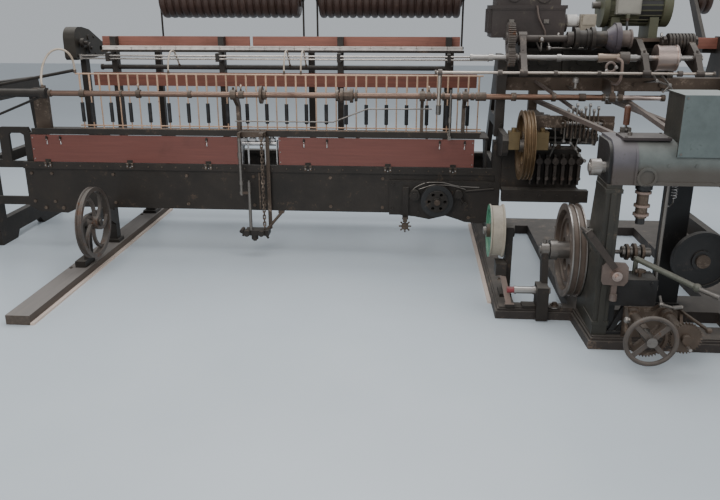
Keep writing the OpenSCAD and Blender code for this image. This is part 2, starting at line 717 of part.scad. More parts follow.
// Drive column with its right leg, the square bracket, the hub and the black box
module drive_column() color([0.23, 0.24, 0.23])
    difference() {
        union() {
            yz_plate(1520, 1600)
                polygon([[house_y0, base_h], [-750, base_h], [-760, 130], [-800, 300],
                    [-930, house_z0], [house_y0, house_z0]]);
            for (z = [130, 880])
                bar(1514, 1606, house_y0 - 6, -940, z, z + 22);
            bar(1545, 1575, house_y0 - 10, house_y0, 152, 880);
            bar(2420, 2500, house_y0, -900, base_h, house_z0);
            xz_plate(house_y0 - 22, house_y0)
                polygon([[1548, 378], [1660, 372], [1680, 400], [1676, 480], [1660, 500], [1556, 504],
                    [1538, 478], [1536, 400]]);
            ycyl(house_y0 - 56, house_y0 - 22, 1611, 437, 27);
            ycyl(house_y0 - 78, house_y0 - 56, 1611, 437, 12);
            bar(1596, 1626, house_y0 - 18, house_y0, 320, 380);
            zcyl(285, 322, 1612, house_y0 - 14, 20);
            xcyl(1468, 1522, -950, 613, 15);
            flat([1479, -950, 613], [1572, -1160, 482], 34, 16);
            bar(1600, 1847, house_y0, -1000, 249, 401);
            for (x = [1630, 1817])
                head_y(x, 380, house_y0, 9, 6);
            bar(1600, 1640, -1120, -1080, base_h, 249);
            flat([1700, -1120, 249], [1624, -1120, base_h + 10], 26, 26);
            flat([1780, -1120, 249], [1664, -1120, base_h + 10], 26, 26);
            bar(1600, 1690, -1140, -1100, base_h, base_h + 20);
        }
        xcyl(1500, 1620, step_y, step_z, 12 + play);
    }

// Black rear column with its top arm
module rear_column() color([0.12, 0.12, 0.12])
    difference() {
        union() {
            bar(1997, 2131, rear_disc_y, rear_disc_y + 100, base_h, 1080);
            bar(1997, 2131, house_y1, rear_disc_y, 1000, 1080);
            bar(1985, 2143, rear_disc_y - 12, rear_disc_y + 112, base_h, base_h + 24);
            ycyl(rear_disc_y - 14, rear_disc_y, disc_x, disc_z, 28);
            bar(2100, disc_x + 50, rear_disc_y, rear_disc_y + 100, disc_z - 60, disc_z + 60);
            yz_plate(2131, 2150)
                polygon([[rear_disc_y, 900], [rear_disc_y + 100, 900], [rear_disc_y + 100, 1080], [house_y1, 1080],
                    [house_y1, 1000]]);
        }
        ycyl(rear_disc_y - 20, rear_disc_y + 120, disc_x, disc_z, 20 + play);
    }

// Gearbox housing with its rounded end, bosses, hub and coil unit
module gearbox_housing() color([0.42, 0.47, 0.45]) {
    yz_plate(1664, 2500)
        house_profile(0);
    yz_plate(1540, 1652)
        house_profile(6);
    yz_plate(1652, 1664)
        house_profile(10);
    yz_plate(1524, 1540)
        house_profile(-14);
    bar(1664, 2500, house_y0 - 6, house_y0, house_z0, house_z0 + 18);
    difference() {
        ycyl(house_y0 - 12, house_y0, 1716, 968, 52);
        ycyl(house_y0 - 13, house_y0 - 3, 1716, 968, 38);
    }
    for (x = [1820, 1960, 2120, 2300, 2460])
        head_y(x, 1030, house_y0, 7, 5);
    ycyl(house_y0 - 10, house_y0, 2250, 1000, 56);
    xcyl(1500, 1530, -1050, 998, 30);
    xcyl(1447, 1500, -1050, 998, 45);
    xcyl(1438, 1447, -1050, 998, 24);
    zcyl(740, house_z0, 1724, -1100, 31);
    for (z = [752, 800, 872])
        zcyl(z, z + 12, 1724, -1100, 42);
    zcyl(896, house_z0, 1724, -1100, 44);
    zcyl(706, 740, 1724, -1100, 24);
    bar(1630, 1646, lever_y - 20, lever_y + 20, house_z1, house_z1 + 34);
    bar(1664, 1680, lever_y - 20, lever_y + 20, house_z1, house_z1 + 34);
    xcyl(1625, 1685, lever_y, house_z1 + 20, 6);
    bar(2130, 2500, house_y0 + 110, house_y1, house_z1, house_z1 + 58);
}

// Section of the housing with its rounded front edge, g proud at the front
module house_profile(g) {
    r = 105 + g;
    translate([house_y0 + 105, house_z1 - r + min(g, 0)])
        circle(r = r);
    polygon([[house_y0 - g, house_z0], [house_y1 + min(g, 0), house_z0], [house_y1 + min(g, 0), house_z1 + min(g, 0)],
        [house_y0 + 105, house_z1 + min(g, 0)], [house_y0 - g, house_z1 - r + min(g, 0)]]);
}

// Cover box with its front skirt and the lid plate
module cover_box() color([0.55, 0.60, 0.58]) {
    bar(1856, 2100, house_y0, -900, house_z1, 1385);
    bar(1850, 2106, house_y0 - 12, house_y0, 1077, 1389);
    bar(1850, 2106, house_y0, -894, 1381, 1389);
    for (p = [[1866, 1092], [2090, 1092], [1866, 1374], [2090, 1374]])
        head_y(p[0], p[1], house_y0 - 12, 6, 4);
    bar(1589, 1832, -1112, -950, house_z1, house_z1 + 14);
    zcyl(house_z1 + 14, house_z1 + 30, 1640, -1030, 12);
    for (p = [[1604, -1098], [1818, -1098], [1604, -964], [1818, -964]])
        translate([p[0], p[1], house_z1 + 14])
            cylinder(r = 7, h = 5, $fn = 6);
}

// Brass bearing blocks of the grooved pulley
module brass_blocks() color([0.62, 0.46, 0.28])
    difference() {
        union() {
            bar(1150, 1223, 10, 90, 890, 1010);
            bar(1336, 1416, 10, 90, 890, 1010);
            zcyl(1010, 1033, 1186, gold_y, 18);
            zcyl(1010, 1033, 1376, gold_y, 18);
        }
        xcyl(1149, 1224, gold_y, gold_z, gold_shaft_r + play);
        xcyl(1335, 1417, gold_y, gold_z, gold_shaft_r + play);
    }

// Stands of the green pulley and of the big pulley, slot rails and cylinder plate
module pulley_stand() color([0.21, 0.21, 0.20])
    difference() {
        union() {
            bar(1095, 1135, -600, -500, base_h, 520);
            bar(1072, 1145, -620, -480, base_h, base_h + 22);
            bar(1036, 1100, -650, -540, 222, 300);
            xcyl(1085, 1145, green_y, green_z, 38);
            xcyl(965, 1085, green_y, green_z, stud_r);
            xcyl(955, 972, green_y, green_z, 25);
            flat([1078, -630, 235], [1112, -772, base_h + 10], 34, 12);
            bar(1088, 1142, -790, -756, base_h, base_h + 20);
            for (x = [1300, 1605]) {
                xcyl(x, x + 44, big_y, big_z, 44);
                zcyl(big_z + 35, big_z + 62, x + 22, big_y, 9);
            }
            yz_plate(1304, 1340)
                polygon([[-786, base_h], [-704, base_h], [-610, big_z], [-690, big_z]]);
            yz_plate(1609, 1645)
                polygon([[-730, base_h], [-570, base_h], [-610, big_z], [-690, big_z]]);
            bar(1590, 1664, -740, -560, base_h, base_h + 20);
            bar(1268, 1336, -832, -712, base_h, 216);
            bar(1268, 1336, -832, -800, 6, base_h);
            xcyl(1336, 1358, -745, 170, 20);
            bar(1190, 1268, -786, -716, base_h, base_h + 14);
        }
        xcyl(1290, 1680, big_y, big_z, big_shaft_r + play);
    }

// Small air cylinder with its cap
module small_cylinder() color([0.80, 0.78, 0.76]) {
    xcyl(1140, 1268, -745, 170, 22);
    xcyl(1098, 1140, -745, 170, 19);
    xcyl(1252, 1268, -745, 170, 26);
    xcyl(1140, 1152, -745, 170, 25);
}

// Tie bars from the upper beam to the housing
module tie_bars() color([0.30, 0.26, 0.22]) {
    intersection() {
        bar(1300, 1900, 180, beam_y0, 1000, 1400);
        flat([1378, 510, 1300], [1770, 170, 1032], 34, 16);
    }
    xspan([1380, 1165], [1740, 1085], 30, 28);
    xspan([1910, 1172], [2194, 1096], 36, 26);
    xspan([1994, 1190], [1985, 1110], 30, 28);
}

// Bar between the beam front and the housing rear, drawn as [x, z] at both ends
module xspan(a, b, w, h)
    intersection() {
        bar(1200, 2400, house_y1, beam_y0, 1000, 1400);
        flat([a[0], beam_y0 + 30, a[1] + 2], [b[0], house_y1 - 30, b[1] - 2], w, h);
    }

// Right end frame beyond the edge of the picture with the arm of the end roller
module right_end_frame() color([0.16, 0.15, 0.15]) {
    yz_plate(end_x, right_x)
        difference() {
            polygon([[-1100, base_h], [1225, base_h], [1225, 640], [900, 1600], [480, 1600],
                [400, 1400], [-850, 1150], [-1100, 1150]]);
            polygon([[-900, 200], [1050, 200], [1050, 560], [-900, 560]]);
            polygon([[-850, 680], [1000, 680], [820, 1120], [300, 1120], [-850, 1000]]);
        }
    bar(2675, end_x, 870, 910, 1480, 1560);
    yz_plate(2650, 2675)
        polygon([[870, 1480], [930, 1480], [1290, 1860], [1290, 1890], [1210, 1890], [870, 1560]]);
    xcyl(end_x - 65, right_x - 10, roller_y, roller_z, 12);
}

link_n = 26;
link_step = 26.8;
link_len = 20;
link_r = 12;

// One chain link, flat in the XZ plane
module link()
    xz_plate(-3.5, 3.5)
        difference() {
            union() {
                square([2 * link_r, link_len], center = true);
                for (s = [-1, 1])
                    translate([0, s * link_len / 2])
                        circle(r = link_r);
            }
            square([10, link_len], center = true);
            for (s = [-1, 1])
                translate([0, s * link_len / 2])
                    circle(r = 5);
        }

// Hanging chain between the flaps
module chain() color([0.14, 0.12, 0.11])
    for (i = [0 : link_n - 1])
        translate([-590, 255, chain_top - link_len / 2 - link_r - i * link_step])
            rotate([0, 0, i % 2 * 90])
                link();

// Chain hanger with the hanging rods, the clip and the lower cluster
module chain_hanger() color([0.18, 0.16, 0.15]) {
    bar(-762, -566, 290, front_y - 10, 905, 943);
    bar(-606, -574, 236, 290, chain_top, 943);
    bar(-762, -742, 238, 290, 905, 943);
    zcyl(481, 910, -752, 250, 12);
    zcyl(760, 800, -752, 250, 17);
    zcyl(560, 590, -752, 250, 17);
    bar(-764, -684, 240, 260, 490, 508);
    zcyl(chain_low - 1, 580, -694, 250, 12);
    zcyl(574, 592, -694, 250, 8);
    bar(-572, -546, 314, 330, 205, 905);
    bar(-740, -560, 236, 330, 172, chain_low);
    ycyl(212, 236, -722, 192, 24);
    ycyl(212, 236, -612, 192, 22);
    ycyl(224, 300, -764, 206, 14);
    bar(-764, -740, 236, 290, 184, 206);
    zcyl(136, 172, -672, 270, 26);
    zcyl(124, 136, -672, 270, 14);
    rod([-740, 300, 190], [-772, 300, 150], 9);
    rod([-590, 262, 180], [-566, 262, 146], 9);
    rod([-590, 300, 195], [-480, 368, 318], 11);
    bar(-502, -460, 354, 400, 316, girder_z0);
}

// Bracket of the handwheel pair, the linkage rods and the green rod
module link_rods() color([0.30, 0.36, 0.30])
    difference() {
        union() {
            bar(1680, 1990, house_y0 - 15, house_y0, base_h, 248);
            for (x = [1680, 1974])
                yz_plate(x, x + 16)
                    polygon([[house_y0 - 15, base_h + 8], [house_y0 - 15, 240], [house_y0 - 70, 120]]);
            for (x = [hand_x, crank_x]) {
                ycyl(-1400, house_y0 - 15, x, hand_z, 30);
                ycyl(-1200, house_y0 - 15, x, hand_z, 44);
            }
            rod([1690, -1160, 238], [1612, -1450, 294], 11);
            translate([1612, -1450, 294])
                sphere(r = 18);
            rod([1831, -1160, 236], [1846, -1240, 300], 10);
            translate([1846, -1240, 300])
                sphere(r = 15);
            rod([1846, -1240, 300], [1836, -1230, 345], 7);
            rod([1846, -1240, 300], [1902, -1252, 286], 9);
            rod([1902, -1252, 286], [1948, -1250, 292], 12);
            rod([1948, -1250, 292], [1972, -1160, 236], 9);
            rod([1982, -1160, 232], [2045, -1400, 224], 9);
            translate([2045, -1400, 224])
                sphere(r = 18);
            bar(1735, 1757, -1060, -1040, 401, 500);
            rod([1746, -1050, 490], [2013, -1250, 402], 16);
            translate([2013, -1250, 402])
                sphere(r = 24);
            rod([2013, -1250, 402], [2094, -1350, 388], 15);
            zcyl(300, house_z0, 1864, -1050, 11);
            bar(1847, 1880, -1062, -1038, 310, 340);
        }
        for (x = [hand_x, crank_x])
            ycyl(-1410, house_y0 + 5, x, hand_z, stud_r + play);
    }

// Hinged flap from x0 to x1 with its knuckles, straps and latches
module flap(x0, x1, hinges, latches)
    difference() {
        union() {
            bar(x0, x1, flap_y, flap_y + flap_t, flap_z0, flap_z1);
            for (x = hinges) {
                xcyl(x + 17, x + 37, hinge_y, hinge_z, knuckle_r);
                bar(x + 17, x + 37, hinge_y - 4, flap_y, hinge_z + 2, hinge_z + 10);
                bar(x + 6, x + 48, flap_y - 3, flap_y, flap_z0 + 2, flap_z0 + 20);
            }
            for (x = latches) {
                ycyl(flap_y - 9, flap_y, x, flap_z1 - 22, 8);
                bar(x - 5, x + 5, flap_y - 14, flap_y - 9, flap_z1 - 38, flap_z1 - 6);
            }
        }
        xcyl(x0 - 1, x1 + 1, hinge_y, hinge_z, 2 + play);
    }

// Left flap
module flap_left() color([0.43, 0.24, 0.19])
    flap(-2360, -770, [hinge_xs[0], hinge_xs[1], hinge_xs[2]], [-2235, -2130, -1015]);

// Right flap
module flap_right() color([0.43, 0.24, 0.19])
    flap(-480, 950, [hinge_xs[3], hinge_xs[4], hinge_xs[5]], [-290, -120, 700, 880]);

// Long line shaft with collars and cams: left end, right end, radius
module tube_shaft() color([0.50, 0.40, 0.35]) {
    xcyl(-2130, 970, shaft_y, shaft_z, shaft_r);
    for (c = [[-2130, -2112, 26], [-1900, -1862, 28], [-1600, -1584, 26], [-1480, -1450, 30],
        [-1105, -1080, 27], [-735, -700, 28], [-583, -565, 62], [-565, -540, 34], [60, 84, 26],
        [596, 626, 32], [640, 656, 30], [704, 720, 30], [806, 832, 28], [900, 925, 27], [935, 970, 30]])
        xcyl(c[0], c[1], shaft_y, shaft_z, c[2]);
    for (c = [[-42, -22, 40], [-10, 12, 50], [58, 80, 50], [92, 110, 40]])
        xcyl(c[0], c[1], shaft_y, shaft_z, c[2]);
    translate([0, shaft_y, shaft_z])
        rotate([0, 90, 0])
            cylinder(r = 36, h = 70, $fn = 8);
    for (x = [-1465, -720, 611])
        zcyl(shaft_z + 20, shaft_z + 42, x, shaft_y, 6);
}

// Copper coloured shaft with its slimmer end
module copper_shaft() color([0.65, 0.43, 0.33]) {
    xcyl(970, 1815, shaft_y, shaft_z, shaft_r);
    xcyl(1815, 2217, shaft_y, shaft_z, 15);
    for (c = [[970, 1006, 30], [1180, 1212, 29], [1455, 1482, 30], [1640, 1684, 27], [1796, 1815, 26],
        [1900, 1932, 26], [2190, 2217, 23]])
        xcyl(c[0], c[1], shaft_y, shaft_z, c[2]);
}

// Pair of thin sliding rods joined at both ends
module carrier_rods() color([0.72, 0.70, 0.68]) {
    for (z = carrier_zs)
        xcyl(-2040, 1050, carrier_y, z, carrier_r);
    for (x = [-2046, 1040])
        bar(x, x + 12, carrier_y - 11, carrier_y + 11, 1424, 1466);
}

// Starting rod with collars and the hanging lever
module starting_rod() color([0.36, 0.33, 0.30]) {
    xcyl(640, 2450, start_y, start_z, start_r);
    for (c = [[640, 654, 16], [662, 690, 21], [1055, 1085, 19], [1420, 1444, 16], [1700, 1724, 16],
        [2213, 2243, 19], [2436, 2450, 15]])
        xcyl(c[0], c[1], start_y, start_z, c[2]);
    rod([676, 50, 1394], [676, 150, 1112], 14);
    rod([676, 128, 1174], [676, 152, 1106], 18);
}

// Left wheel with curved spokes
module left_wheel() color([0.30, 0.27, 0.25])
    difference() {
        union() {
            turned_x(wheel_y, wheel_z)
                polygon([[left_wheel_r - 30, -1747], [left_wheel_r, -1747], [left_wheel_r, -1739],
                    [left_wheel_r - 9, -1733], [left_wheel_r - 9, -1717], [left_wheel_r, -1711],
                    [left_wheel_r, -1703], [left_wheel_r - 30, -1703]]);
            xcyl(-1754, -1683, wheel_y, wheel_z, 44);
            translate([0, wheel_y, wheel_z])
                yz_plate(-1736, -1714)
                    for (a = [0 : 60 : 300])
                        rotate(a)
                            intersection() {
                                difference() {
                                    translate([115, 60])
                                        circle(r = 139);
                                    translate([115, 60])
                                        circle(r = 120);
                                }
                                circle(r = left_wheel_r - 20);
                                rotate(atan2(60, 115))
                                    translate([0, -260])
                                        square([300, 260]);
                            }
        }
        xcyl(-1760, -1680, wheel_y, wheel_z, stud_r + play);
    }

// Corrugated roller body from a to b with n ribs
module ribbed(a, b, n, r) {
    p = (b - a) / n;
    turned_x(roller_y, roller_z)
        polygon(concat([[0, a], [r - 20, a]],
            [for (i = [0 : n - 1]) for (k = [[r - 16, 0.04], [r - 4, 0.18], [r, 0.36], [r, 0.64], [r - 4, 0.82], [r - 16, 0.96]])
                [k[0], a + (i + k[1]) * p]],
            [[r - 20, b], [0, b]]));
}

// Left corrugated roller with its journals
module roller_left() color([0.24, 0.18, 0.16]) {
    ribbed(-1560, -430, 19, roller_r);
    xcyl(-1600, -390, roller_y, roller_z, 12);
    xcyl(-1573, -417, roller_y, roller_z, 62);
}

// Right corrugated roller with its journals
module roller_right() color([0.24, 0.18, 0.16]) {
    ribbed(-266, 859, 19, roller_r);
    xcyl(-306, 899, roller_y, roller_z, 12);
    xcyl(-279, 872, roller_y, roller_z, 62);
}

// Short roller at the right end
module roller_end() color([0.24, 0.18, 0.16])
    difference() {
        ribbed(end_x - 56, right_x - 12, 2, 118);
        xcyl(end_x - 60, right_x - 5, roller_y, roller_z, 12 + play);
    }

// Upper gear shaft with spur gear, clutch, cone and pulley
module gear_shaft() color([0.30, 0.28, 0.26]) {
    xcyl(1118, 1950, gear_y, gear_z, gear_shaft_r);
    translate([0, gear_y, gear_z])
        yz_plate(1126, 1174)
            rotate(270 - mesh_angle)
                gear2d(gear_m, gear_n);
    for (c = [[1118, 1190, 40], [1570, 1598, 72], [1598, 1650, 54], [1650, 1664, 66], [1664, 1678, 58],
        [1678, 1704, 76], [1704, 1782, 50], [1832, 1864, 104], [1864, 1876, 62], [1876, 1934, 55], [1934, 1946, 62]])
        xcyl(c[0], c[1], gear_y, gear_z, c[2]);
    turned_x(gear_y, gear_z)
        polygon([[0, 1782], [54, 1782], [92, 1828], [92, 1832], [0, 1832]]);
}

// Upper collar shaft with pinion, collars and drum
module collar_shaft() color([0.45, 0.43, 0.41]) {
    xcyl(876, 2392, collar_y, collar_z, collar_shaft_r);
    translate([0, collar_y, collar_z])
        yz_plate(1128, 1172)
            rotate(90 - mesh_angle + 180 / pinion_n)
                gear2d(gear_m, pinion_n);
    for (c = [[876, 892, 22], [1000, 1030, 24], [1112, 1190, 26], [1450, 1476, 24], [1717, 1750, 30], [1750, 1842, 27],
        [1842, 1855, 30], [1855, 1919, 40], [1919, 1970, 23], [2087, 2099, 86], [2099, 2210, 80], [2210, 2222, 86],
        [2222, 2250, 30]])
        xcyl(c[0], c[1], collar_y, collar_z, c[2]);
}

// Gold pulley with three grooves on its shaft
module gold_pulley() color([0.66, 0.50, 0.30])
    difference() {
        union() {
            turned_x(gold_y, gold_z)
                polygon([[gold_r - 34, 1231], [gold_r, 1231], [gold_r, 1236], [gold_r - 14, 1243],
                    [gold_r - 14, 1247], [gold_r, 1254], [gold_r, 1258], [gold_r - 14, 1265],
                    [gold_r - 14, 1271], [gold_r, 1278], [gold_r, 1282], [gold_r - 14, 1289],
                    [gold_r - 14, 1293], [gold_r, 1300], [gold_r, 1305], [gold_r - 34, 1305]]);
            xcyl(1260, 1276, gold_y, gold_z, gold_r - 30);
            xcyl(1227, 1332, gold_y, gold_z, 46);
            xcyl(1158, 1430, gold_y, gold_z, gold_shaft_r);
        }
        for (a = [0 : 60 : 300])
            xcyl(1250, 1290, gold_y + 122 * cos(a), gold_z + 122 * sin(a), 44);
    }

// Big belt pulley with its coupling and shaft
module big_pulley() color([0.38, 0.34, 0.30])
    difference() {
        union() {
            turned_x(big_y, big_z)
                polygon([[big_r - 40, 1430], [big_r, 1430], [big_r, 1438], [big_r - 14, 1442],
                    [big_r - 14, 1466], [big_r - 4, 1470], [big_r - 4, 1476], [big_r - 14, 1480],
                    [big_r - 14, 1503], [big_r, 1507], [big_r, 1515], [big_r - 40, 1515]]);
            turned_x(big_y, big_z)
                polygon([[0, 1464], [big_r - 30, 1464], [big_r - 30, 1482], [0, 1482]]);
            turned_x(big_y, big_z)
                polygon([[big_r - 90, 1452], [big_r - 66, 1452], [big_r - 66, 1490], [big_r - 90, 1490]]);
            xcyl(1394, 1520, big_y, big_z, 52);
            xcyl(1350, 1394, big_y, big_z, 62);
            xcyl(1290, 1672, big_y, big_z, big_shaft_r);
            for (a = [0 : 90 : 270])
                xcyl(1388, 1400, big_y + 46 * cos(a), big_z + 46 * sin(a), 8);
        }
        for (a = [0 : 60 : 300])
            xcyl(1440, 1500, big_y + 128 * cos(a), big_z + 128 * sin(a), 42);
    }

// Green pulley on its stud
module green_pulley() color([0.42, 0.62, 0.50])
    difference() {
        union() {
            turned_x(green_y, green_z)
                polygon([[green_r - 26, 987], [green_r, 987], [green_r, 995], [green_r - 10, 1001],
                    [green_r - 10, 1061], [green_r, 1067], [green_r, 1075], [green_r - 26, 1075]]);
            xcyl(1000, 1014, green_y, green_z, green_r - 22);
            xcyl(975, 1082, green_y, green_z, 42);
        }
        xcyl(960, 1090, green_y, green_z, stud_r + play);
        for (a = [36 : 72 : 324])
            xcyl(990, 1020, green_y + 88 * cos(a), green_z + 88 * sin(a), 28);
    }

// Handwheel with its shaft and gear
module handwheel() color([0.40, 0.34, 0.30]) {
    turned_y(hand_x, hand_z)
        translate([hand_r - 12, -hand_y])
            circle(r = 12);
    for (a = [45 : 90 : 315])
        flat([hand_x, hand_y, hand_z], [hand_x + (hand_r - 12) * cos(a), hand_y, hand_z + (hand_r - 12) * sin(a)], 10, 24);
    ycyl(hand_y - 20, -1402, hand_x, hand_z, 27);
    ycyl(hand_y - 20, -1154, hand_x, hand_z, stud_r);
    translate([hand_x, 0, hand_z])
        xz_plate(-1456, -1430) {
            difference() {
                gear2d(gear_m, hand_n);
                circle(r = 84);
            }
            for (a = [45 : 90 : 315])
                rotate(a)
                    translate([20, -10])
                        square([68, 20]);
        }
}

// Crank gear with its shaft, crank web and handle
module crank_gear() color([0.34, 0.30, 0.27]) {
    translate([crank_x, 0, hand_z])
        xz_plate(-1456, -1430)
            rotate(180 + 180 / crank_n)
                gear2d(gear_m, crank_n);
    ycyl(-1480, -1402, crank_x, hand_z, 24);
    ycyl(-1480, -1154, crank_x, hand_z, stud_r);
    crank_web();
    ycyl(-1522, -1470, crank_x + 6, hand_z - 33, 8);
}

// Crank web between the shaft and the handle
module crank_web() {
    flat([crank_x, -1474, hand_z], [crank_x + 6, -1474, hand_z - 33], 12, 22);
    ycyl(-1480, -1468, crank_x + 6, hand_z - 33, 12);
}

// Hand lever with its round grip
module hand_lever() color([0.35, 0.22, 0.15]) {
    difference() {
        xcyl(1649, 1661, lever_y, house_z1 + 20, 15);
        xcyl(1648, 1662, lever_y, house_z1 + 20, 6 + play);
    }
    zcyl(house_z1 + 33, 1210, 1655, lever_y, 7);
    zcyl(1200, 1290, 1655, lever_y, 17);
    translate([1655, lever_y, 1290])
        sphere(r = 17);
}

// Stepped disc on the stud of the drive plate
module disc_pulley() color([0.22, 0.20, 0.19])
    difference() {
        union() {
            ycyl(286, 302, 692, 455, 118);
            ycyl(270, 286, 692, 455, 108);
            ycyl(260, 270, 692, 455, 118);
            ycyl(246, 260, 692, 455, 80);
            ycyl(232, 246, 692, 455, 30);
        }
        ycyl(220, 310, 692, 455, 12 + play);
        for (a = [0 : 60 : 300])
            ycyl(240, 310, 692 + 58 * cos(a), 455 + 58 * sin(a), 12);
    }

// Bank of hand levers on one rod
module lever_bank() color([0.25, 0.23, 0.21]) {
    xcyl(1510, 1800, bank_y, bank_z, 8);
    for (i = [0 : 7]) {
        yz_plate(1545 + 28 * i, 1553 + 28 * i)
            polygon([[90, 960], [110, 960], [118, 1060], [108, 1140 + i % 3 * 18],
                [92, 1140 + i % 3 * 18], [82, 1060]]);
        xcyl(1541 + 28 * i, 1557 + 28 * i, bank_y, 1144 + i % 3 * 18, 13);
        xcyl(1541 + 28 * i, 1557 + 28 * i, bank_y, bank_z, 17);
    }
}

// Black disc at the rear column
module rear_disc() color([0.11, 0.11, 0.11])
    difference() {
        union() {
            ycyl(-862, -826, disc_x, disc_z, 170);
            ycyl(-876, -716, disc_x, disc_z, 40);
            ycyl(-876, -590, disc_x, disc_z, 20);
        }
        difference() {
            ycyl(-863, -850, disc_x, disc_z, 152);
            ycyl(-864, -849, disc_x, disc_z, 60);
        }
    }

// Stepped shaft beside the drive column
module step_shaft() color([0.35, 0.33, 0.31]) {
    xcyl(1530, 1849, step_y, step_z, 12);
    for (c = [[1602, 1622, 22], [1690, 1706, 34], [1712, 1726, 46], [1732, 1746, 34], [1752, 1768, 50],
        [1774, 1790, 34], [1796, 1812, 44], [1812, 1849, 26]])
        xcyl(c[0], c[1], step_y, step_z, c[2]);
}

left_sill();
floor_battens();
right_base();
left_end_frame();
left_stand();
front_girder();
drive_plate();
rear_girder();
ledge_bar();
shelf();
rear_posts();
back_board();
dark_tube();
top_boards();
segment_rail();
segments();
rod_ladder();
rod_sleeves();
shaft_brackets();
guard_cover();
hoses();
mid_frame();
upper_beam();
gearbox_casing();
upper_bearings();
motor();
drive_column();
rear_column();
gearbox_housing();
cover_box();
brass_blocks();
pulley_stand();
small_cylinder();
tie_bars();
right_end_frame();
chain();
chain_hanger();
link_rods();
flap_left();
flap_right();
tube_shaft();
copper_shaft();
carrier_rods();
starting_rod();
left_wheel();
roller_left();
roller_right();
roller_end();
gear_shaft();
collar_shaft();
gold_pulley();
big_pulley();
green_pulley();
handwheel();
crank_gear();
hand_lever();
disc_pulley();
lever_bank();
rear_disc();
step_shaft();
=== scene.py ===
"""Power loom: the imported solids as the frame, dressed with finishes and small pieces."""
import math

import bmesh
import bpy
import numpy as np
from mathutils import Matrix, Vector


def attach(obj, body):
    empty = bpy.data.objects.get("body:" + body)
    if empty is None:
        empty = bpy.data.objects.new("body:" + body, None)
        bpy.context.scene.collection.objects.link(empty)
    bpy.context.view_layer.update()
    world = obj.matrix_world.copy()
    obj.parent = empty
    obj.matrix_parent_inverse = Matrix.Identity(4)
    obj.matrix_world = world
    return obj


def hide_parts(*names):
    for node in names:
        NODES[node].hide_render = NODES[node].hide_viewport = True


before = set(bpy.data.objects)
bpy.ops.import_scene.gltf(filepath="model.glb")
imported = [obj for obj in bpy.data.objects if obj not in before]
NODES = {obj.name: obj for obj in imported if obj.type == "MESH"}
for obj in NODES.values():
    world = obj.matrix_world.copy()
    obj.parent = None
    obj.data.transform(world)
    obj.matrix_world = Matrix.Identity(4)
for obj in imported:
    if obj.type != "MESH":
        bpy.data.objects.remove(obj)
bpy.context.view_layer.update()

bl_info = {
    "name": "Power loom dressing",
    "version": (1, 0, 0),
    "blender": (4, 5, 0),
    "location": "3D View > Sidebar > Loom",
    "description": "Finishes, hoses, screws and small parts of a power loom on its packed frame",
    "category": "Object",
}


# Shader writing


class Sock:
    """An output socket; an operator on it adds a Math node."""

    def __init__(self, look, socket):
        self.look, self.socket = look, socket

    def _do(self, operation, a, b, clamp=False):
        return self.look.node("ShaderNodeMath", {"operation": operation, "use_clamp": clamp}, {0: a, 1: b})

    def __add__(self, other):
        return self._do("ADD", self, other)

    def __radd__(self, other):
        return self._do("ADD", other, self)

    def __sub__(self, other):
        return self._do("SUBTRACT", self, other)

    def __rsub__(self, other):
        return self._do("SUBTRACT", other, self)

    def __mul__(self, other):
        return self._do("MULTIPLY", self, other)

    def __rmul__(self, other):
        return self._do("MULTIPLY", other, self)

    def clamp(self):
        return self._do("ADD", self, 0.0, clamp=True)

    def step(self, low, high):
        """0 below low, 1 above high, smooth between."""
        return self.look.node(
            "ShaderNodeMapRange",
            {"interpolation_type": "SMOOTHSTEP"},
            {"Value": self, "From Min": low, "From Max": high},
        )


class Look:
    """One material with its node tree."""

    def __init__(self, name):
        self.mat = bpy.data.materials.new(name)
        self.mat.use_nodes = True
        self.tree = self.mat.node_tree
        self.shader = self.tree.nodes["Principled BSDF"]
        self.place = self.node("ShaderNodeTexCoord", {}, {}, "Object")

    def node(self, kind, settings, inputs, out=0):
        """Adds a node; settings first, then its inputs by name or number."""
        made = self.tree.nodes.new(kind)
        for key, value in settings.items():
            setattr(made, key, value)
        for key, value in inputs.items():
            self.feed(made.inputs[key], value)
        return Sock(self, made.outputs[out])

    def feed(self, socket, value):
        if isinstance(value, Sock):
            self.tree.links.new(value.socket, socket)
        elif socket.type == "RGBA":
            socket.default_value = (*value, 1.0)
        else:
            socket.default_value = value

    def noise(self, scale, detail, rough=0.55, stretch=None):
        """Noise from 0 to 1 on object coordinates."""
        where = self.place
        if stretch:
            where = self.node("ShaderNodeMapping", {}, {"Vector": where, "Scale": stretch})
        return self.node(
            "ShaderNodeTexNoise", {}, {"Vector": where, "Scale": scale, "Detail": detail, "Roughness": rough}
        )

    def blend(self, a, b, share):
        """Colour a where share is 0 and b where it is 1."""
        settings = {"data_type": "RGBA", "clamp_factor": True}
        return self.node("ShaderNodeMix", settings, {0: share, 6: a, 7: b}, 2)

    def height(self, coordinates):
        """The z of a socket of coordinates."""
        return self.node("ShaderNodeSeparateXYZ", {}, {0: coordinates}, 2)

    def up(self):
        """How far the surface looks up, from -1 to 1."""
        return self.height(self.node("ShaderNodeTexCoord", {}, {}, "Normal"))

    def bump(self, height, distance):
        return self.node("ShaderNodeBump", {}, {"Height": height, "Distance": distance})

    def finish(self, **sockets):
        """Sets the shader's sockets by name, with _ for a space."""
        for key, value in sockets.items():
            self.feed(self.shader.inputs[key.replace("_", " ")], value)
        return self.mat


# Kinds of finish


def tone(red, green, blue):
    """Linear colour from tones of 0 to 255."""
    return tuple(((c / 255.0 + 0.055) / 1.055) ** 2.4 if c > 10 else c / 3294.6 for c in (red, green, blue))


def shaded(colour, share):
    """A colour darkened to a share of itself."""
    return tuple(c * share for c in colour)


DUST = tone(150, 144, 136)
WOOD_DUST = (0.42, 0.40, 0.38)
# Brown of the painted floor reflection and painted shade on the housing's lower faces
FLOOR_REFLECTION_BROWN = tone(72, 63, 55)
STREAKS = (1.0, 14.0, 14.0)


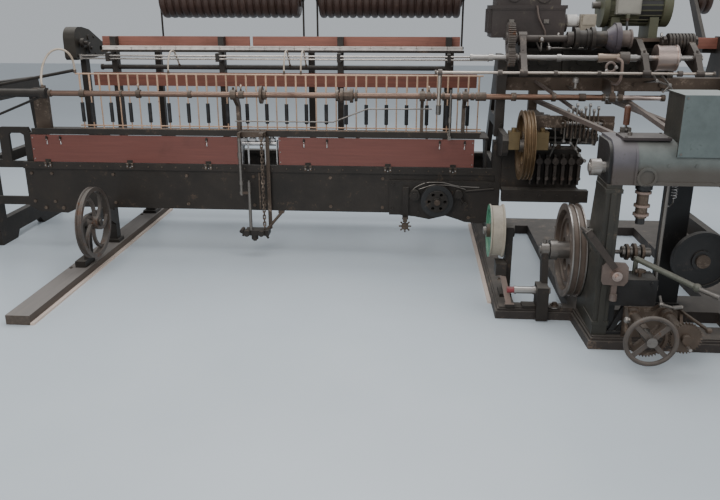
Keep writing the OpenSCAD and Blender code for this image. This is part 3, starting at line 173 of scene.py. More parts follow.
def worn_metal(name, paint, under, metal, rough, wear, soot, grain=1.0, low=None):
    """Cloudy paint or bare metal with worn patches, oily dark areas and dust on top; below low it turns brown
    as a painted floor reflection and painted shade.
    """
    look = Look(name)
    cloud = look.noise(1.7, 5.0)
    patch = look.noise(9.0 * grain, 6.0, 0.62)
    fine = look.noise(70.0 * grain, 3.0, 0.6)
    colour = look.blend(shaded(paint, 0.55), paint, (cloud * 0.7 + patch * 0.5).step(0.35, 0.8))
    worn = (patch * 0.75 + fine * 0.35).step(0.68 - 0.14 * wear, 0.80 - 0.12 * wear)
    colour = look.blend(colour, under, worn * min(1.0, 0.35 + wear))
    grime = (look.noise(4.2, 4.0) * 0.8 + fine * 0.25).step(0.5, 0.78)
    colour = look.blend(colour, shaded(under, 0.35), grime * soot)
    # Painted light: below the heights in low the colour turns brown, a painted reflection of the brown floor
    # and painted shade on the lower faces.
    if low:
        floor_reflection = 1.0 - (look.height(look.place) + (cloud - 0.5) * 0.08).step(*low)
        colour = look.blend(colour, FLOOR_REFLECTION_BROWN, floor_reflection * 0.8)
    settled = look.up().step(0.35, 0.95) * (0.25 + patch * 0.6)
    return look.finish(
        Base_Color=look.blend(colour, DUST, settled * 0.45),
        Metallic=(metal + worn * (0.5 * (1.0 - metal))) * 0.9,
        Roughness=(rough - 0.12 * grime + fine * 0.22 + settled * 0.25).clamp(),
        Normal=look.bump(patch * 0.5 + fine * 0.5, 0.0012),
    )


def bright_metal(name, colour, stain, rough, stained):
    """Rubbed bar or turned metal with streaks along it and stains."""
    look = Look(name)
    streak = look.noise(22.0, 4.0, 0.6, STREAKS)
    cloud = look.noise(5.0, 5.0)
    fine = look.noise(160.0, 2.0)
    mark = (cloud * 0.6 + streak * 0.5).step(0.62 - 0.12 * stained, 0.84 - 0.1 * stained)
    tint = look.blend(shaded(colour, 0.72), colour, streak)
    return look.finish(
        Base_Color=look.blend(tint, stain, mark * (0.5 + 0.5 * stained)),
        Metallic=(0.95 - mark * 0.55).clamp(),
        Roughness=(rough + mark * 0.3 + streak * 0.12).clamp(),
        Normal=look.bump(streak * 0.6 + fine * 0.4, 0.0004),
    )


def board_wood(name, dark, light, rough, scale, scuffed, axis=0):
    """Sawn and varnished board with its grain along one axis and dark scuffs."""
    look = Look(name)

    def run(along, across):
        return tuple(along if i == axis else across for i in range(3))

    warp = look.noise(1.1 * scale, 3.0, 0.5, run(0.6, 4.0))
    grain = look.noise(7.0 * scale, 6.0, 0.65, run(0.35, 9.0))
    fibre = look.noise(40.0 * scale, 3.0, 0.6, run(0.12, 8.0))
    lines = (grain * 0.6 + warp * 0.3 + fibre * 0.25).step(0.38, 0.78)
    scuff = (look.noise(3.1, 5.0) * 0.75 + fibre * 0.3).step(0.56, 0.74)
    colour = look.blend(look.blend(dark, light, lines), shaded(dark, 0.42), scuff * scuffed)
    return look.finish(
        Base_Color=look.blend(colour, WOOD_DUST, look.up().step(0.4, 0.95) * 0.3),
        Roughness=(rough + scuff * 0.2 + fibre * 0.12).clamp(),
        Normal=look.bump(grain * 0.4 + fibre * 0.6, 0.0008),
    )


def soft_rubber(name, colour, stain, rough):
    """Matt rubber or aged plastic hose with handling marks."""
    look = Look(name)
    cloud = look.noise(14.0, 5.0)
    return look.finish(
        Base_Color=look.blend(colour, stain, cloud.step(0.45, 0.75) * 0.6),
        Roughness=(rough + cloud * 0.15).clamp(),
        Normal=look.bump(look.noise(180.0, 2.0), 0.0003),
    )


# Sizes and colours that a user may change


def colour(name, about, *tones):
    return bpy.props.FloatVectorProperty(
        name=name, description=about, subtype="COLOR", size=3, min=0.0, max=1.0, default=tone(*tones)
    )


def length(name, about, metres):
    return bpy.props.FloatProperty(
        name=name, description=about, subtype="DISTANCE", unit="LENGTH", min=0.0, default=metres
    )


class LoomColours(bpy.types.PropertyGroup):
    """Base colours of the finishes."""

    iron: colour("Girder iron", "Oily dark iron of the girders and frames", 50, 44, 39)
    steel: colour("Brown steel", "Bare steel gone brown", 98, 84, 73)
    base: colour("Base plate", "Cast base plate of the head end", 62, 55, 51)
    column: colour("Column paint", "Dark green-grey paint of the drive column", 54, 52, 46)
    housing: colour("Housing paint", "Grey-green paint of the gearbox housing", 106, 112, 109)
    cover: colour("Cover paint", "Lighter grey of the cover box", 138, 146, 144)
    casing: colour("Casing paint", "Paint of the upper gearbox casing", 62, 53, 50)
    motor: colour("Motor paint", "Olive paint of the motor", 82, 82, 62)
    flap: colour("Flap wood", "Varnish of the two flaps", 116, 67, 58)
    board: colour("Board wood", "Red-brown board behind the ladder", 122, 70, 54)
    lath: colour("Top boards", "Lighter boards along the top", 150, 95, 79)
    segment: colour("Segments", "Pale segment plates", 232, 222, 214)
    rod: colour("Ladder rods", "Cream rods of the ladder", 212, 176, 148)
    hose: colour("Hoses", "Aged cream hose", 172, 158, 142)
    tube: colour("Line shaft", "Rusty pink-brown of the line shaft", 131, 108, 95)
    copper: colour("Copper shaft", "Copper coloured shaft", 152, 120, 102)
    gold: colour("Gold pulley", "Paint of the grooved pulley", 128, 104, 76)
    mint: colour("Mint paint", "Paint of the green pulley", 82, 137, 109)
    roller: colour("Roller paint", "Dark brown of the corrugated rollers", 72, 54, 47)
    sill: colour("Sill timber", "Dark timber of the floor sill", 96, 84, 75)
    batten: colour("Battens", "Pale floor battens", 222, 200, 184)


class LoomSizes(bpy.types.PropertyGroup):
    """Sizes of the small parts."""

    hose: length("Hose", "Outside diameter of the main hose and of the motor lead", 0.016)
    thin_hose: length("Thin hose", "Outside diameter of the three small hoses", 0.012)
    screw: length("Latch screw", "Head diameter of the flap latch screws", 0.010)
    bolt: length("Base bolt", "Width of the bolts on the base plate", 0.026)
    rivet: length("Rivet", "Head diameter of the ledge rivets", 0.012)
    floor: length("Floor", "Side of the pale floor", 40.0)


# Finishes


# Heights between which the housing turns brown: painted floor reflection and painted shade on its lower part
HOUSING_FOOT = (0.98, 1.06)

# Painted and bare castings. Each row has a name, the paint as one of LoomColours or as tones, the tones
# that wear lays open, then how metallic, rough, worn and sooty it is, for some the scale of their grain
# and the heights between which a painted brown floor reflection and painted shade darken them towards the
# foot.
WORN = {
    "iron": ("oily iron", "iron", (92, 78, 66), 0.35, 0.42, 0.45, 0.5),
    "steel": ("brown steel", "steel", (150, 134, 120), 0.65, 0.4, 0.6, 0.55),
    "base": ("cast base", "base", (120, 104, 92), 0.3, 0.5, 0.6, 0.5),
    "black": ("black paint", (38, 37, 37), (92, 84, 78), 0.1, 0.36, 0.3, 0.3),
    "column": ("column paint", "column", (104, 92, 80), 0.2, 0.38, 0.4, 0.5),
    "housing": ("housing paint", "housing", (88, 84, 80), 0.05, 0.36, 0.25, 0.25, 1.0, HOUSING_FOOT),
    "housing_dark": ("housing end", (98, 94, 99), (72, 66, 66), 0.1, 0.36, 0.4, 0.4, 1.0, HOUSING_FOOT),
    "bearing": ("bearing iron", (74, 66, 61), (120, 108, 98), 0.45, 0.38, 0.5, 0.5),
    "cover": ("cover paint", "cover", (110, 108, 104), 0.05, 0.36, 0.15, 0.15),
    "casing": ("casing paint", "casing", (104, 98, 84), 0.15, 0.42, 0.5, 0.5),
    "motor": ("motor paint", "motor", (90, 84, 66), 0.1, 0.42, 0.4, 0.35),
    "pulley": ("pulley iron", (116, 102, 92), (160, 146, 132), 0.6, 0.38, 0.6, 0.4),
    "wheel": ("wheel iron", (96, 88, 82), (104, 70, 50), 0.45, 0.42, 0.6, 0.4),
    "rusty": ("rusty rim", (92, 84, 78), (104, 82, 68), 0.4, 0.5, 0.6, 0.3, 2.0),
    "gold": ("gold paint", "gold", (168, 142, 108), 0.6, 0.3, 0.5, 0.6, 1.6),
    "warm": ("warm dark iron", (50, 45, 38), (84, 72, 60), 0.3, 0.42, 0.4, 0.5),
    "plum": ("purple grey iron", (88, 80, 86), (112, 98, 92), 0.45, 0.34, 0.35, 0.35),
    "flange": ("brown casting", (116, 102, 95), (88, 74, 64), 0.3, 0.42, 0.4, 0.4),
    "rail": ("pale brown rail", (150, 130, 120), (104, 86, 74), 0.45, 0.4, 0.4, 0.3),
    "motor_box": ("motor box", (146, 142, 132), (98, 92, 80), 0.1, 0.42, 0.35, 0.3),
    "cover_front": ("cover front", (98, 108, 107), (84, 88, 84), 0.05, 0.38, 0.2, 0.25),
    "lid": ("lid plate", (62, 53, 52), (100, 86, 78), 0.2, 0.38, 0.35, 0.4),
    "mint": ("mint paint", "mint", (92, 110, 96), 0.0, 0.36, 0.35, 0.3, 1.8),
    "cream": ("cream rim", (166, 156, 140), (104, 94, 82), 0.1, 0.4, 0.4, 0.3, 2.0),
    "green": ("green tube", (100, 101, 90), (112, 100, 84), 0.2, 0.38, 0.3, 0.3, 2.0),
    "roller": ("roller paint", "roller", (120, 98, 84), 0.15, 0.34, 0.35, 0.45),
    "white": ("white coat", (218, 214, 208), (150, 142, 134), 0.0, 0.34, 0.15, 0.15, 2.0),
    "red": ("red cap", (140, 52, 58), (84, 40, 40), 0.0, 0.34, 0.2, 0.2, 2.0),
    "segment": ("segment plate", "segment", (176, 150, 136), 0.1, 0.32, 0.3, 0.15, 3.0),
    "rod": ("ladder rod", "rod", (140, 96, 70), 0.15, 0.36, 0.55, 0.25, 4.0),
}
# Rubbed and turned metal: name, colour, tones of its stains, how rough and how stained
RUBBED = {
    "brass": ("brass blocks", (140, 121, 90), (80, 68, 52), 0.36, 0.75),
    "bronze": ("bronze sleeve", (178, 158, 142), (100, 76, 60), 0.3, 0.5),
    "pale": ("pale rod", (206, 192, 178), (132, 110, 94), 0.3, 0.45),
    "pink": ("pink steel", (206, 186, 176), (128, 100, 88), 0.24, 0.35),
    "tube": ("line shaft", "tube", (84, 58, 48), 0.36, 0.75),
    "copper": ("copper shaft", "copper", (96, 58, 44), 0.3, 0.5),
    "chrome": ("rubbed rod", (182, 174, 166), (130, 116, 104), 0.2, 0.25),
    "bright": ("turned steel", (182, 176, 170), (104, 92, 82), 0.28, 0.45),
    "grey": ("used steel", (140, 134, 128), (72, 64, 58), 0.34, 0.7),
    "fitting": ("pale fitting", (206, 202, 200), (140, 132, 126), 0.3, 0.4),
}
# Rubber and hose: name, colour, tones of the handling marks, how rough
RUBBER = {
    "rubber": ("black rubber", (30, 30, 31), (70, 66, 64), 0.45),
    "hose": ("cream hose", "hose", (140, 118, 96), 0.42),
    "lead": ("grey lead", (70, 70, 70), (40, 38, 36), 0.5),
}
# Wood: name, light colour, dark tones or a share of the light colour, how rough, scale of the grain,
# how scuffed, and the axis of the grain where it isn't x
WOOD = {
    "flap": ("flap wood", "flap", 0.74, 0.32, 1.0, 0.4),
    "board": ("board wood", "board", 0.55, 0.5, 1.0, 0.5),
    "lath": ("top board wood", "lath", 0.6, 0.5, 1.0, 0.45),
    "grip": ("grip wood", (104, 66, 46), (58, 34, 24), 0.3, 8.0, 0.3),
    "sill": ("sill timber", "sill", 0.5, 0.7, 1.0, 0.6, 1),
    "batten": ("batten timber", "batten", 0.72, 0.6, 1.0, 0.25, 1),
}
LOOK = {}


def make_finishes(colours):
    """All materials by a maker's name, from the base colours."""

    def chosen(paint):
        return tuple(getattr(colours, paint)) if isinstance(paint, str) else tone(*paint)

    for kind, rows in ((worn_metal, WORN), (bright_metal, RUBBED), (soft_rubber, RUBBER)):
        for key, (name, paint, under, *rest) in rows.items():
            LOOK[key] = kind(name, chosen(paint), tone(*under), *rest)
    for key, (name, paint, dark, *rest) in WOOD.items():
        light = chosen(paint)
        dark = tone(*dark) if isinstance(dark, tuple) else shaded(light, dark)
        LOOK[key] = board_wood(name, dark, light, *rest)


def paint(node, base, *areas):
    """Gives a node its finish, and each area (finish, test on the middles of its faces) its own."""
    mesh = NODES[node].data
    mesh.materials.clear()
    for name in (base, *(area[0] for area in areas)):
        mesh.materials.append(LOOK[name])
    middle = np.empty(len(mesh.polygons) * 3)
    mesh.polygons.foreach_get("center", middle)
    x, y, z = middle.reshape(-1, 3).T
    index = np.zeros(len(x), dtype=np.int32)
    for i, (_, test) in enumerate(areas, 1):
        index[test(x, y, z)] = i
    mesh.polygons.foreach_set("material_index", index)
    mesh.update()


# Limits past the whole object
LOW, HIGH = -9.0, 9.0
ALL = (LOW, HIGH)


def box(x=ALL, y=ALL, z=ALL):
    """Test for what lies between the limits."""
    return lambda *at: np.all([(v > low) & (v < high) for v, (low, high) in zip(at, (x, y, z))], axis=0)


def either(*tests):
    """Test for what passes one of several tests."""
    return lambda *at: np.any([test(*at) for test in tests], axis=0)


def near(v, *places, reach=0.0003):
    """Whether a coordinate is within reach of one of the places."""
    return np.any([abs(v - place) < reach for place in places], axis=0)


def off(a, b, axis):
    """Distance from an axis, given as the two coordinates across it."""
    return np.hypot(a - axis[0], b - axis[1])


# Axes of turned parts: along x as y and z, along y as x and z, upright as x and y
LINE_SHAFT = (0.25, 1.215)
GEAR_SHAFT = (0.25, 1.604)
MOTOR = (0.55, 1.819)
ROLLERS = (1.25, 1.872)
STARTING_ROD = (0.05, 1.394)
END_BEARING = (0.33, 1.574)
GOLD_PULLEY = (0.05, 0.915)
BIG_PULLEY = (-0.65, 0.401)
GREEN_PULLEY = (-0.55, 0.486)
LEVER_BANK = (0.1, 1.06)
STEP_SHAFT = (-0.95, 0.495)
HANDWHEEL = (1.727, 0.201)
REAR_DISC = (2.18, 0.42)
COIL_UNIT = (1.724, -1.1)
HANGER_RODS = ((-0.752, 0.25), (-0.694, 0.25))

# Flaps: the places of their latches and of their two ends along x
FLAPS = {
    "flap_left": ((-2.235, -2.13, -1.015), (-2.36, -0.77)),
    "flap_right": ((-0.29, -0.12, 0.7, 0.88), (-0.48, 0.95)),
}
ONE_FINISH = {
    "floor_battens": "batten", "right_base": "base", "left_end_frame": "iron", "left_stand": "iron",
    "rear_girder": "iron", "rear_posts": "iron", "dark_tube": "iron", "segment_rail": "iron",
    "right_end_frame": "iron", "back_board": "board", "top_boards": "lath", "segments": "segment",
    "rod_sleeves": "rubber", "carrier_rods": "chrome", "left_wheel": "wheel", "rear_column": "black",
    "brass_blocks": "brass", "tie_bars": "flange", "chain": "steel",
}


def paint_frame():
    """Finishes of the long frame, its boards, shafts and rollers."""
    for node, finish in ONE_FINISH.items():
        paint(node, finish)
    paint("left_sill", "sill", ("wheel", box(z=(0.0601, HIGH))))
    paint(
        "mid_frame", "iron",
        # Painted highlight: the rack's front faces in the lighter bearing iron stand in for highlights on its
        # dark castings
        ("bearing", box(x=(1.33, 1.69), y=(LOW, 0.2401), z=(0.59, 0.8))),
        ("wheel", box(x=(1.33, 1.69), y=(LOW, 0.2221), z=(0.59, 0.66))),
        ("steel", box(x=(1.16, HIGH), z=(0.8449, 0.8725))),
    )
    paint("front_girder", "iron", ("steel", box(y=(LOW, 0.3499))))
    paint("drive_plate", "iron", ("steel", either(box(y=(LOW, 0.3299), z=(LOW, 0.326)), box(y=(LOW, 0.255)))))
    paint("ledge_bar", "iron", ("steel", box(y=(LOW, 0.3299))))
    paint("shelf", "iron", ("fitting", box(x=(-0.767, -0.494), y=(0.3615, 0.4105), z=(0.6401, 0.9019))))
    paint("rod_ladder", "rod", ("steel", lambda x, y, z: (z < 0.9265) & (abs(y - 0.5) > 0.0085)))
    paint(
        "shaft_brackets", "steel",
        ("grey", box(x=(0.75, 0.77), y=(LOW, 0.21))),
        ("grey", lambda x, y, z: (abs(y - 0.356) < 0.0062) & (x < 0.638) & (
            (abs(z - 1.012) < 0.0062) | (abs(z - 1.108 - (x - 0.171) * 0.3887) < 0.007)
            | (abs(z - 1.1105) < 0.009))),
    )
    paint("guard_cover", "warm", ("iron", box(x=(-2.0765, HIGH))))
    paint("tube_shaft", "tube", ("steel", lambda x, y, z: off(y, z, LINE_SHAFT) > 0.0205))
    paint(
        "copper_shaft", "copper",
        ("bright", box(x=(1.816, HIGH))),
        ("steel", lambda x, y, z: off(y, z, LINE_SHAFT) > 0.0207),
    )
    paint(
        "starting_rod", "pale",
        ("wheel", lambda x, y, z: (off(y, z, STARTING_ROD) > 0.0095) & (z > 1.36)),
        ("grey", box(z=(LOW, 1.175))),
    )
    for node in ("roller_left", "roller_right", "roller_end"):
        paint(node, "roller", ("grey", lambda x, y, z: off(y, z, ROLLERS) < 0.0123))
    for node in FLAPS:
        paint(
            node, "flap",
            ("warm", box(y=(LOW, 0.3359), z=(LOW, 0.76))),
            ("iron", box(y=(LOW, 0.3359), z=(0.85, HIGH))),
        )


def paint_head():
    """Finishes of the shafts, castings and levers at the top of the head end."""
    paint(
        "upper_beam", "steel",
        ("warm", box(y=(0.499, 0.5562), z=(1.3262, 1.5798))),
        ("wheel", box(x=(1.403, 1.8), y=(0.2, 0.4705), z=(0.88, 1.101))),
    )
    paint(
        "gearbox_casing", "casing",
        ("white", box(x=(1.5521, 1.637), z=(1.67, HIGH))),
        ("cream", box(x=(1.6399, HIGH))),
        ("grey", box(x=(LOW, 1.5), y=(LOW, 0.3961), z=(LOW, 1.73))),
    )
    paint("upper_bearings", "bearing",
          ("iron", lambda x, y, z: (x > 2.21) & (x < 2.38) & (off(y, z, END_BEARING) < 0.066)))
    paint(
        "motor", "motor",
        ("motor_box", lambda x, y, z: (x > 1.8638) & (x < 2.0302) & (y < 0.4399) & (z > 1.7598) & (z < 1.8802)
            & ((y < 0.3801) | near(x, 1.864, 2.03) | near(z, 1.76, 1.88))),
        ("grey", box(x=(LOW, 1.7919))),
    )
    paint(
        "gear_shaft", "wheel",
        ("iron", box(x=(1.569, 1.783))),
        ("bearing", lambda x, y, z: (off(y, z, GEAR_SHAFT) < 0.0235) & (x < 1.57)),
        ("plum", box(x=(1.7821, 1.8645))),
        ("flange", box(x=(1.8645, HIGH))),
    )
    paint(
        "collar_shaft", "bright",
        ("wheel", box(x=(1.11, 1.195))),
        ("bronze", box(x=(1.7165, 1.8555))),
        ("wheel", box(x=(1.8545, 1.9195))),
        ("pink", box(x=(2.086, 2.223))),
    )
    paint("gold_pulley", "gold", ("grey", lambda x, y, z: off(y, z, GOLD_PULLEY) < 0.0465))
    paint("hand_lever", "grey", ("grip", box(z=(1.2079, HIGH))))
    paint("disc_pulley", "black", ("iron", box(y=(LOW, 0.2599))))
    paint("lever_bank", "steel", ("bright", lambda x, y, z: (z > 1.125) | (off(y, z, LEVER_BANK) < 0.018)))
    paint(
        "chain_hanger", "steel",
        ("grey", lambda x, y, z: (z > 0.47) & (z < 0.904) & (off(x, y, HANGER_RODS[0]) < 0.0175)),
        ("grey", lambda x, y, z: (z > 0.212) & (z < 0.6) & (off(x, y, HANGER_RODS[1]) < 0.0125)),
        ("iron", box(z=(LOW, 0.2111))),
    )


def paint_base():
    """Finishes of the columns, boxes, pulleys and wheels on the base plate."""
    paint(
        "drive_column", "column",
        ("flange", either(box(x=(1.5765, HIGH), y=(LOW, -1.1501), z=(0.28, 0.51)),
                          box(x=(1.53, HIGH), y=(LOW, -1.1605), z=(0.28, 0.51)))),
        ("pink", box(y=(LOW, -1.1721), z=(0.4, HIGH))),
        ("black", box(x=(1.6, HIGH), y=(-1.16, HIGH), z=(0.072, 0.402))),
    )
    paint(
        "gearbox_housing", "housing",
        ("housing_dark", box(x=(LOW, 1.6645))),
        ("black", box(x=(LOW, 1.5399))),
        ("bright", box(x=(LOW, 1.5236))),
        ("black", box(z=(LOW, 0.9249))),
        ("steel", box(z=(0.7395, 0.8845))),
        ("rail", lambda x, y, z: (z > 0.7515) & (z < 0.8845) & (off(x, y, COIL_UNIT) > 0.032)),
        ("grey", box(x=(LOW, 1.73), z=(1.1525, HIGH))),
    )
    paint(
        "cover_box", "cover",
        ("cover_front", box(y=(LOW, -1.1501), z=(LOW, 1.3885))),
        # Painted shade: the cover box's left side takes the dark column paint as the shadow that lies on it
        ("column", box(x=(LOW, 1.8561), y=(-1.161, HIGH), z=(LOW, 1.3885))),
        ("grey", box(y=(LOW, -1.1621))),
        ("lid", box(x=(LOW, 1.84))),
        ("grey", box(x=(LOW, 1.84), z=(1.1661, HIGH))),
    )
    paint(
        "pulley_stand", "iron",
        ("grey", either(box(x=(LOW, 1.0719), z=(0.35, HIGH)), box(x=(1.3361, 1.359), z=(LOW, 0.2)),
                        box(x=(1.27, HIGH), y=(-0.7, HIGH), z=(0.35, HIGH)))),
        ("rail", box(x=(LOW, 1.15), y=(-0.79, -0.6201), z=(0.083, 0.24))),
    )
    paint("small_cylinder", "bright", ("red", box(x=(LOW, 1.1399))))
    paint(
        "link_rods", "grey",
        ("green", lambda x, y, z: (x > 1.73) & (x < 2.04) & (y > -1.28) & (y < -1.02) & (z > 0.385)
            & (z < 0.53) & (abs(x - 1.864) > 0.0125) & ((z - 0.402 + (x - 2.013) * 0.33) ** 2 < 0.004)),
        ("steel", box(z=(LOW, 0.2825))),
    )
    paint(
        "big_pulley", "pulley",
        ("bright", lambda x, y, z: off(y, z, BIG_PULLEY) > 0.2805),
        ("grey", lambda x, y, z: off(y, z, BIG_PULLEY) < 0.0625),
    )
    paint(
        "green_pulley", "mint",
        ("cream", lambda x, y, z: (off(y, z, GREEN_PULLEY) > 0.1525) & (x > 0.9871)),
        ("steel", lambda x, y, z: off(y, z, GREEN_PULLEY) < 0.0425),
    )
    paint(
        "handwheel", "rusty",
        ("steel", box(y=(-1.457, -1.429))),
        ("grey", lambda x, y, z: off(x, z, HANDWHEEL) < 0.0275),
    )
    paint("crank_gear", "steel", ("bright", box(y=(LOW, -1.481))))
    paint("rear_disc", "black", ("steel", lambda x, y, z: off(x, z, REAR_DISC) < 0.041))
    paint("step_shaft", "grey", ("steel", lambda x, y, z: off(y, z, STEP_SHAFT) > 0.035))


# Shapes


def linked(name, data):
    """A new object in the scene."""
    made = bpy.data.objects.new(name, data)
    bpy.context.scene.collection.objects.link(made)
    return made


def placed(made, body):
    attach(made, body)
    return made


def finished(name, mesh, finish, body, smooth):
    """A piece from a mesh, with doubles merged, faces outwards and edges sharp above smooth degrees."""
    shape = bmesh.new()
    shape.from_mesh(mesh)
    bmesh.ops.remove_doubles(shape, verts=shape.verts, dist=1e-6)
    bmesh.ops.recalc_face_normals(shape, faces=shape.faces)
    shape.to_mesh(mesh)
    shape.free()
    mesh.materials.append(LOOK[finish])
    mesh.shade_smooth()
    mesh.set_sharp_from_angle(angle=math.radians(smooth))
    return placed(linked(name, mesh), body)


def piece(name, shapes, finish, body="frame", smooth=35.0):
    """One piece from the points and faces of several shapes."""
    verts, faces = [], []
    for points, sides in shapes:
        faces += [tuple(i + len(verts) for i in face) for face in sides]
        verts += points
    mesh = bpy.data.meshes.new(name)
    mesh.from_pydata([tuple(v) for v in verts], [], faces)
    return finished(name, mesh, finish, body, smooth)


def circle(middle, side, other, radius, sides):
    """Points round a middle in the plane of two directions."""
    turns = (2 * math.pi * k / sides for k in range(sides))
    return [middle + (side * math.cos(t) + other * math.sin(t)) * radius for t in turns]


def skin(rings):
    """Points and faces of a closed skin over a row of rings."""
    sides, last = len(rings[0]), (len(rings) - 1) * len(rings[0])
    faces = [
        (i + k, i + (k + 1) % sides, i + sides + (k + 1) % sides, i + sides + k)
        for i in range(0, last, sides) for k in range(sides)
    ]
    faces += [tuple(reversed(range(sides))), tuple(range(last, last + sides))]
    return [point for ring in rings for point in ring], faces


def square_to(a, b):
    """Two directions square to the line from a to b and to each other."""
    line = (b - a).normalized()
    u = line.orthogonal().normalized()
    return u, line.cross(u)


def lathes(name, items, finish, body="frame", sides=20):
    """Several small turned parts in one piece: from, to, and a profile of (share of the line, radius)."""
    shapes = []
    for start, end, profile in items:
        a, b = Vector(start), Vector(end)
        u, v = square_to(a, b)
        shapes.append(skin([circle(a + (b - a) * share, u, v, radius, sides) for share, radius in profile]))
    return piece(name, shapes, finish, body)


def bent(points, radius, cuts=5):
    """A way through the points with its corners rounded."""
    pts = [Vector(p) for p in points]
    way = [pts[0]]
    for before, at, after in zip(pts, pts[1:], pts[2:]):
        a = at + (before - at).normalized() * min(radius, (before - at).length * 0.45)
        b = at + (after - at).normalized() * min(radius, (after - at).length * 0.45)
        for k in range(cuts + 1):
            t = k / cuts
            way.append(a.lerp(at, t).lerp(at.lerp(b, t), t))
    way.append(pts[-1])
    return way


def tube_shape(way, radius, sides=10):
    """Points and faces of a round tube along a way."""
    rings, side = [], None
    for i, at in enumerate(way):
        ahead = (way[min(i + 1, len(way) - 1)] - way[max(i - 1, 0)]).normalized()
        side = ahead.orthogonal() if side is None else side - ahead * side.dot(ahead)
        side = side.normalized()
        rings.append(circle(at, side, ahead.cross(side), radius, sides))
    return skin(rings)


def pipes(name, runs, diameter, finish, radius=0.03):
    """Thin rigid pipes through the given points, in one piece on the frame."""
    shapes = [tube_shape(bent(points, radius), diameter / 2.0) for points in runs]
    return piece(name, shapes, finish, smooth=50.0)


def strap(a, b, width, thick, across=(0.0, 1.0, 0.0)):
    """Points and faces of a flat bar from a to b, thick along across."""
    a, b, depth = Vector(a), Vector(b), Vector(across)
    side = (b - a).normalized().cross(depth).normalized() * width / 2.0
    depth = depth * thick / 2.0
    verts = [p + side * i + depth * j for p in (a, b) for i, j in ((-1, -1), (1, -1), (1, 1), (-1, 1))]
    return verts, [(0, 1, 2, 3), (7, 6, 5, 4), (0, 4, 5, 1), (1, 5, 6, 2), (2, 6, 7, 3), (3, 7, 4, 0)]


def coil(a, b, radius, wire, turns=8, steps=14):
    """Points and faces of a spring from a to b."""
    a, b = Vector(a), Vector(b)
    u, v = square_to(a, b)
    way = []
    for i in range(turns * steps + 1):
        share = i / (turns * steps)
        t = 2 * math.pi * turns * i / (turns * steps)
        way.append(a + (b - a) * share + (u * math.cos(t) + v * math.sin(t)) * radius)
    return tube_shape(way, wire / 2.0, 6)


def blocks(name, boxes, finish, edge=0.002):
    """Small plates and blocks (x0, x1, y0, y1, z0, z1) with eased edges, in one piece on the frame."""
    shape = bmesh.new()
    for limits in boxes:
        for vert in bmesh.ops.create_cube(shape, size=1.0)["verts"]:
            vert.co = [(low + high) / 2 + c * (high - low)
                       for c, low, high in zip(vert.co, limits[::2], limits[1::2])]
    bmesh.ops.bevel(
        shape, geom=list(shape.edges), offset=edge, segments=1, affect="EDGES", clamp_overlap=True
    )
    mesh = bpy.data.meshes.new(name)
    shape.to_mesh(mesh)
    shape.free()
    return finished(name, mesh, finish, "frame", 30.0)


# Hoses


HOSE_STEP = 0.012
CURVE_CUTS = 24


def smooth_way(points):
    """Evenly spaced points on one smooth curve through the given points, and its length."""
    pts = [Vector(p) for p in points]
    pts = [pts[0] * 2 - pts[1], *pts, pts[-1] * 2 - pts[-2]]
    dense = []
    for a, b, c, d in zip(pts, pts[1:], pts[2:], pts[3:]):
        for i in range(CURVE_CUTS):
            t = i / CURVE_CUTS
            dense.append(0.5 * (2 * b + (c - a) * t + (2 * a - 5 * b + 4 * c - d) * t * t
                                + (3 * b - a - 3 * c + d) * t ** 3))
    dense.append(pts[-2])
    gaps = [(q - p).length for p, q in zip(dense, dense[1:])]
    whole = sum(gaps)
    count = max(16, round(whole / HOSE_STEP))
    way, run, i = [], 0.0, 0
    for k in range(count + 1):
        goal = whole * k / count
        while i < len(gaps) - 1 and run + gaps[i] < goal:
            run += gaps[i]
            i += 1
        way.append(dense[i].lerp(dense[i + 1], min(1.0, (goal - run) / max(gaps[i], 1e-9))))
    return way, whole


def hose_curve(name, points, diameter, finish):
    """Round hose as a curve of one open spline, with its way and length."""
    way, whole = smooth_way(points)
    data = bpy.data.curves.new(name, "CURVE")
    data.dimensions = "3D"
    data.bevel_depth = diameter / 2.0
    data.bevel_resolution = 5
    data.use_fill_caps = True
    spline = data.splines.new("POLY")
    spline.points.add(len(way) - 1)
    for point, at in zip(spline.points, way):
        point.co = (*at, 1.0)
    spline.use_smooth = True
    data.materials.append(LOOK[finish])
    return linked(name, data), way, whole


MAIN_HOSE = (
    (-2.034, 0.5, 1.339), (-2.034, 0.5, 1.362), (-2.034, 0.499, 1.392), (-2.037, 0.494, 1.43),
    (-2.048, 0.484, 1.468), (-2.074, 0.468, 1.5), (-2.11, 0.448, 1.513), (-2.148, 0.425, 1.504),
    (-2.176, 0.4, 1.476), (-2.194, 0.37, 1.434), (-2.2, 0.336, 1.386), (-2.196, 0.302, 1.34),
    (-2.186, 0.27, 1.304), (-2.176, 0.252, 1.278), (-2.175, 0.25, 1.266), (-2.175, 0.25, 1.253),
)
MOTOR_LEAD = (
    (1.947, 0.388, 1.735), (1.947, 0.388, 1.717), (1.947, 0.386, 1.698), (1.948, 0.383, 1.678),
    (1.949, 0.386, 1.658), (1.95, 0.398, 1.64), (1.95, 0.412, 1.63), (1.95, 0.419, 1.622),
    (1.95, 0.42, 1.614), (1.95, 0.42, 1.603),
)
LADDER_TOP = (0.5, 1.339)
DARK_TUBE = (0.8, 1.362)
DARK_TUBE_R = 0.0175
THIN_HOSES = (-1.318, -0.45, -0.325)
# Ferrule of a hose: its length, and its profile with radii as shares of the hose's
FERRULE_LONG = 0.022
FERRULE = ((0.0, 1.55), (0.38, 1.55), (0.42, 1.3), (0.9, 1.16), (1.0, 1.02))


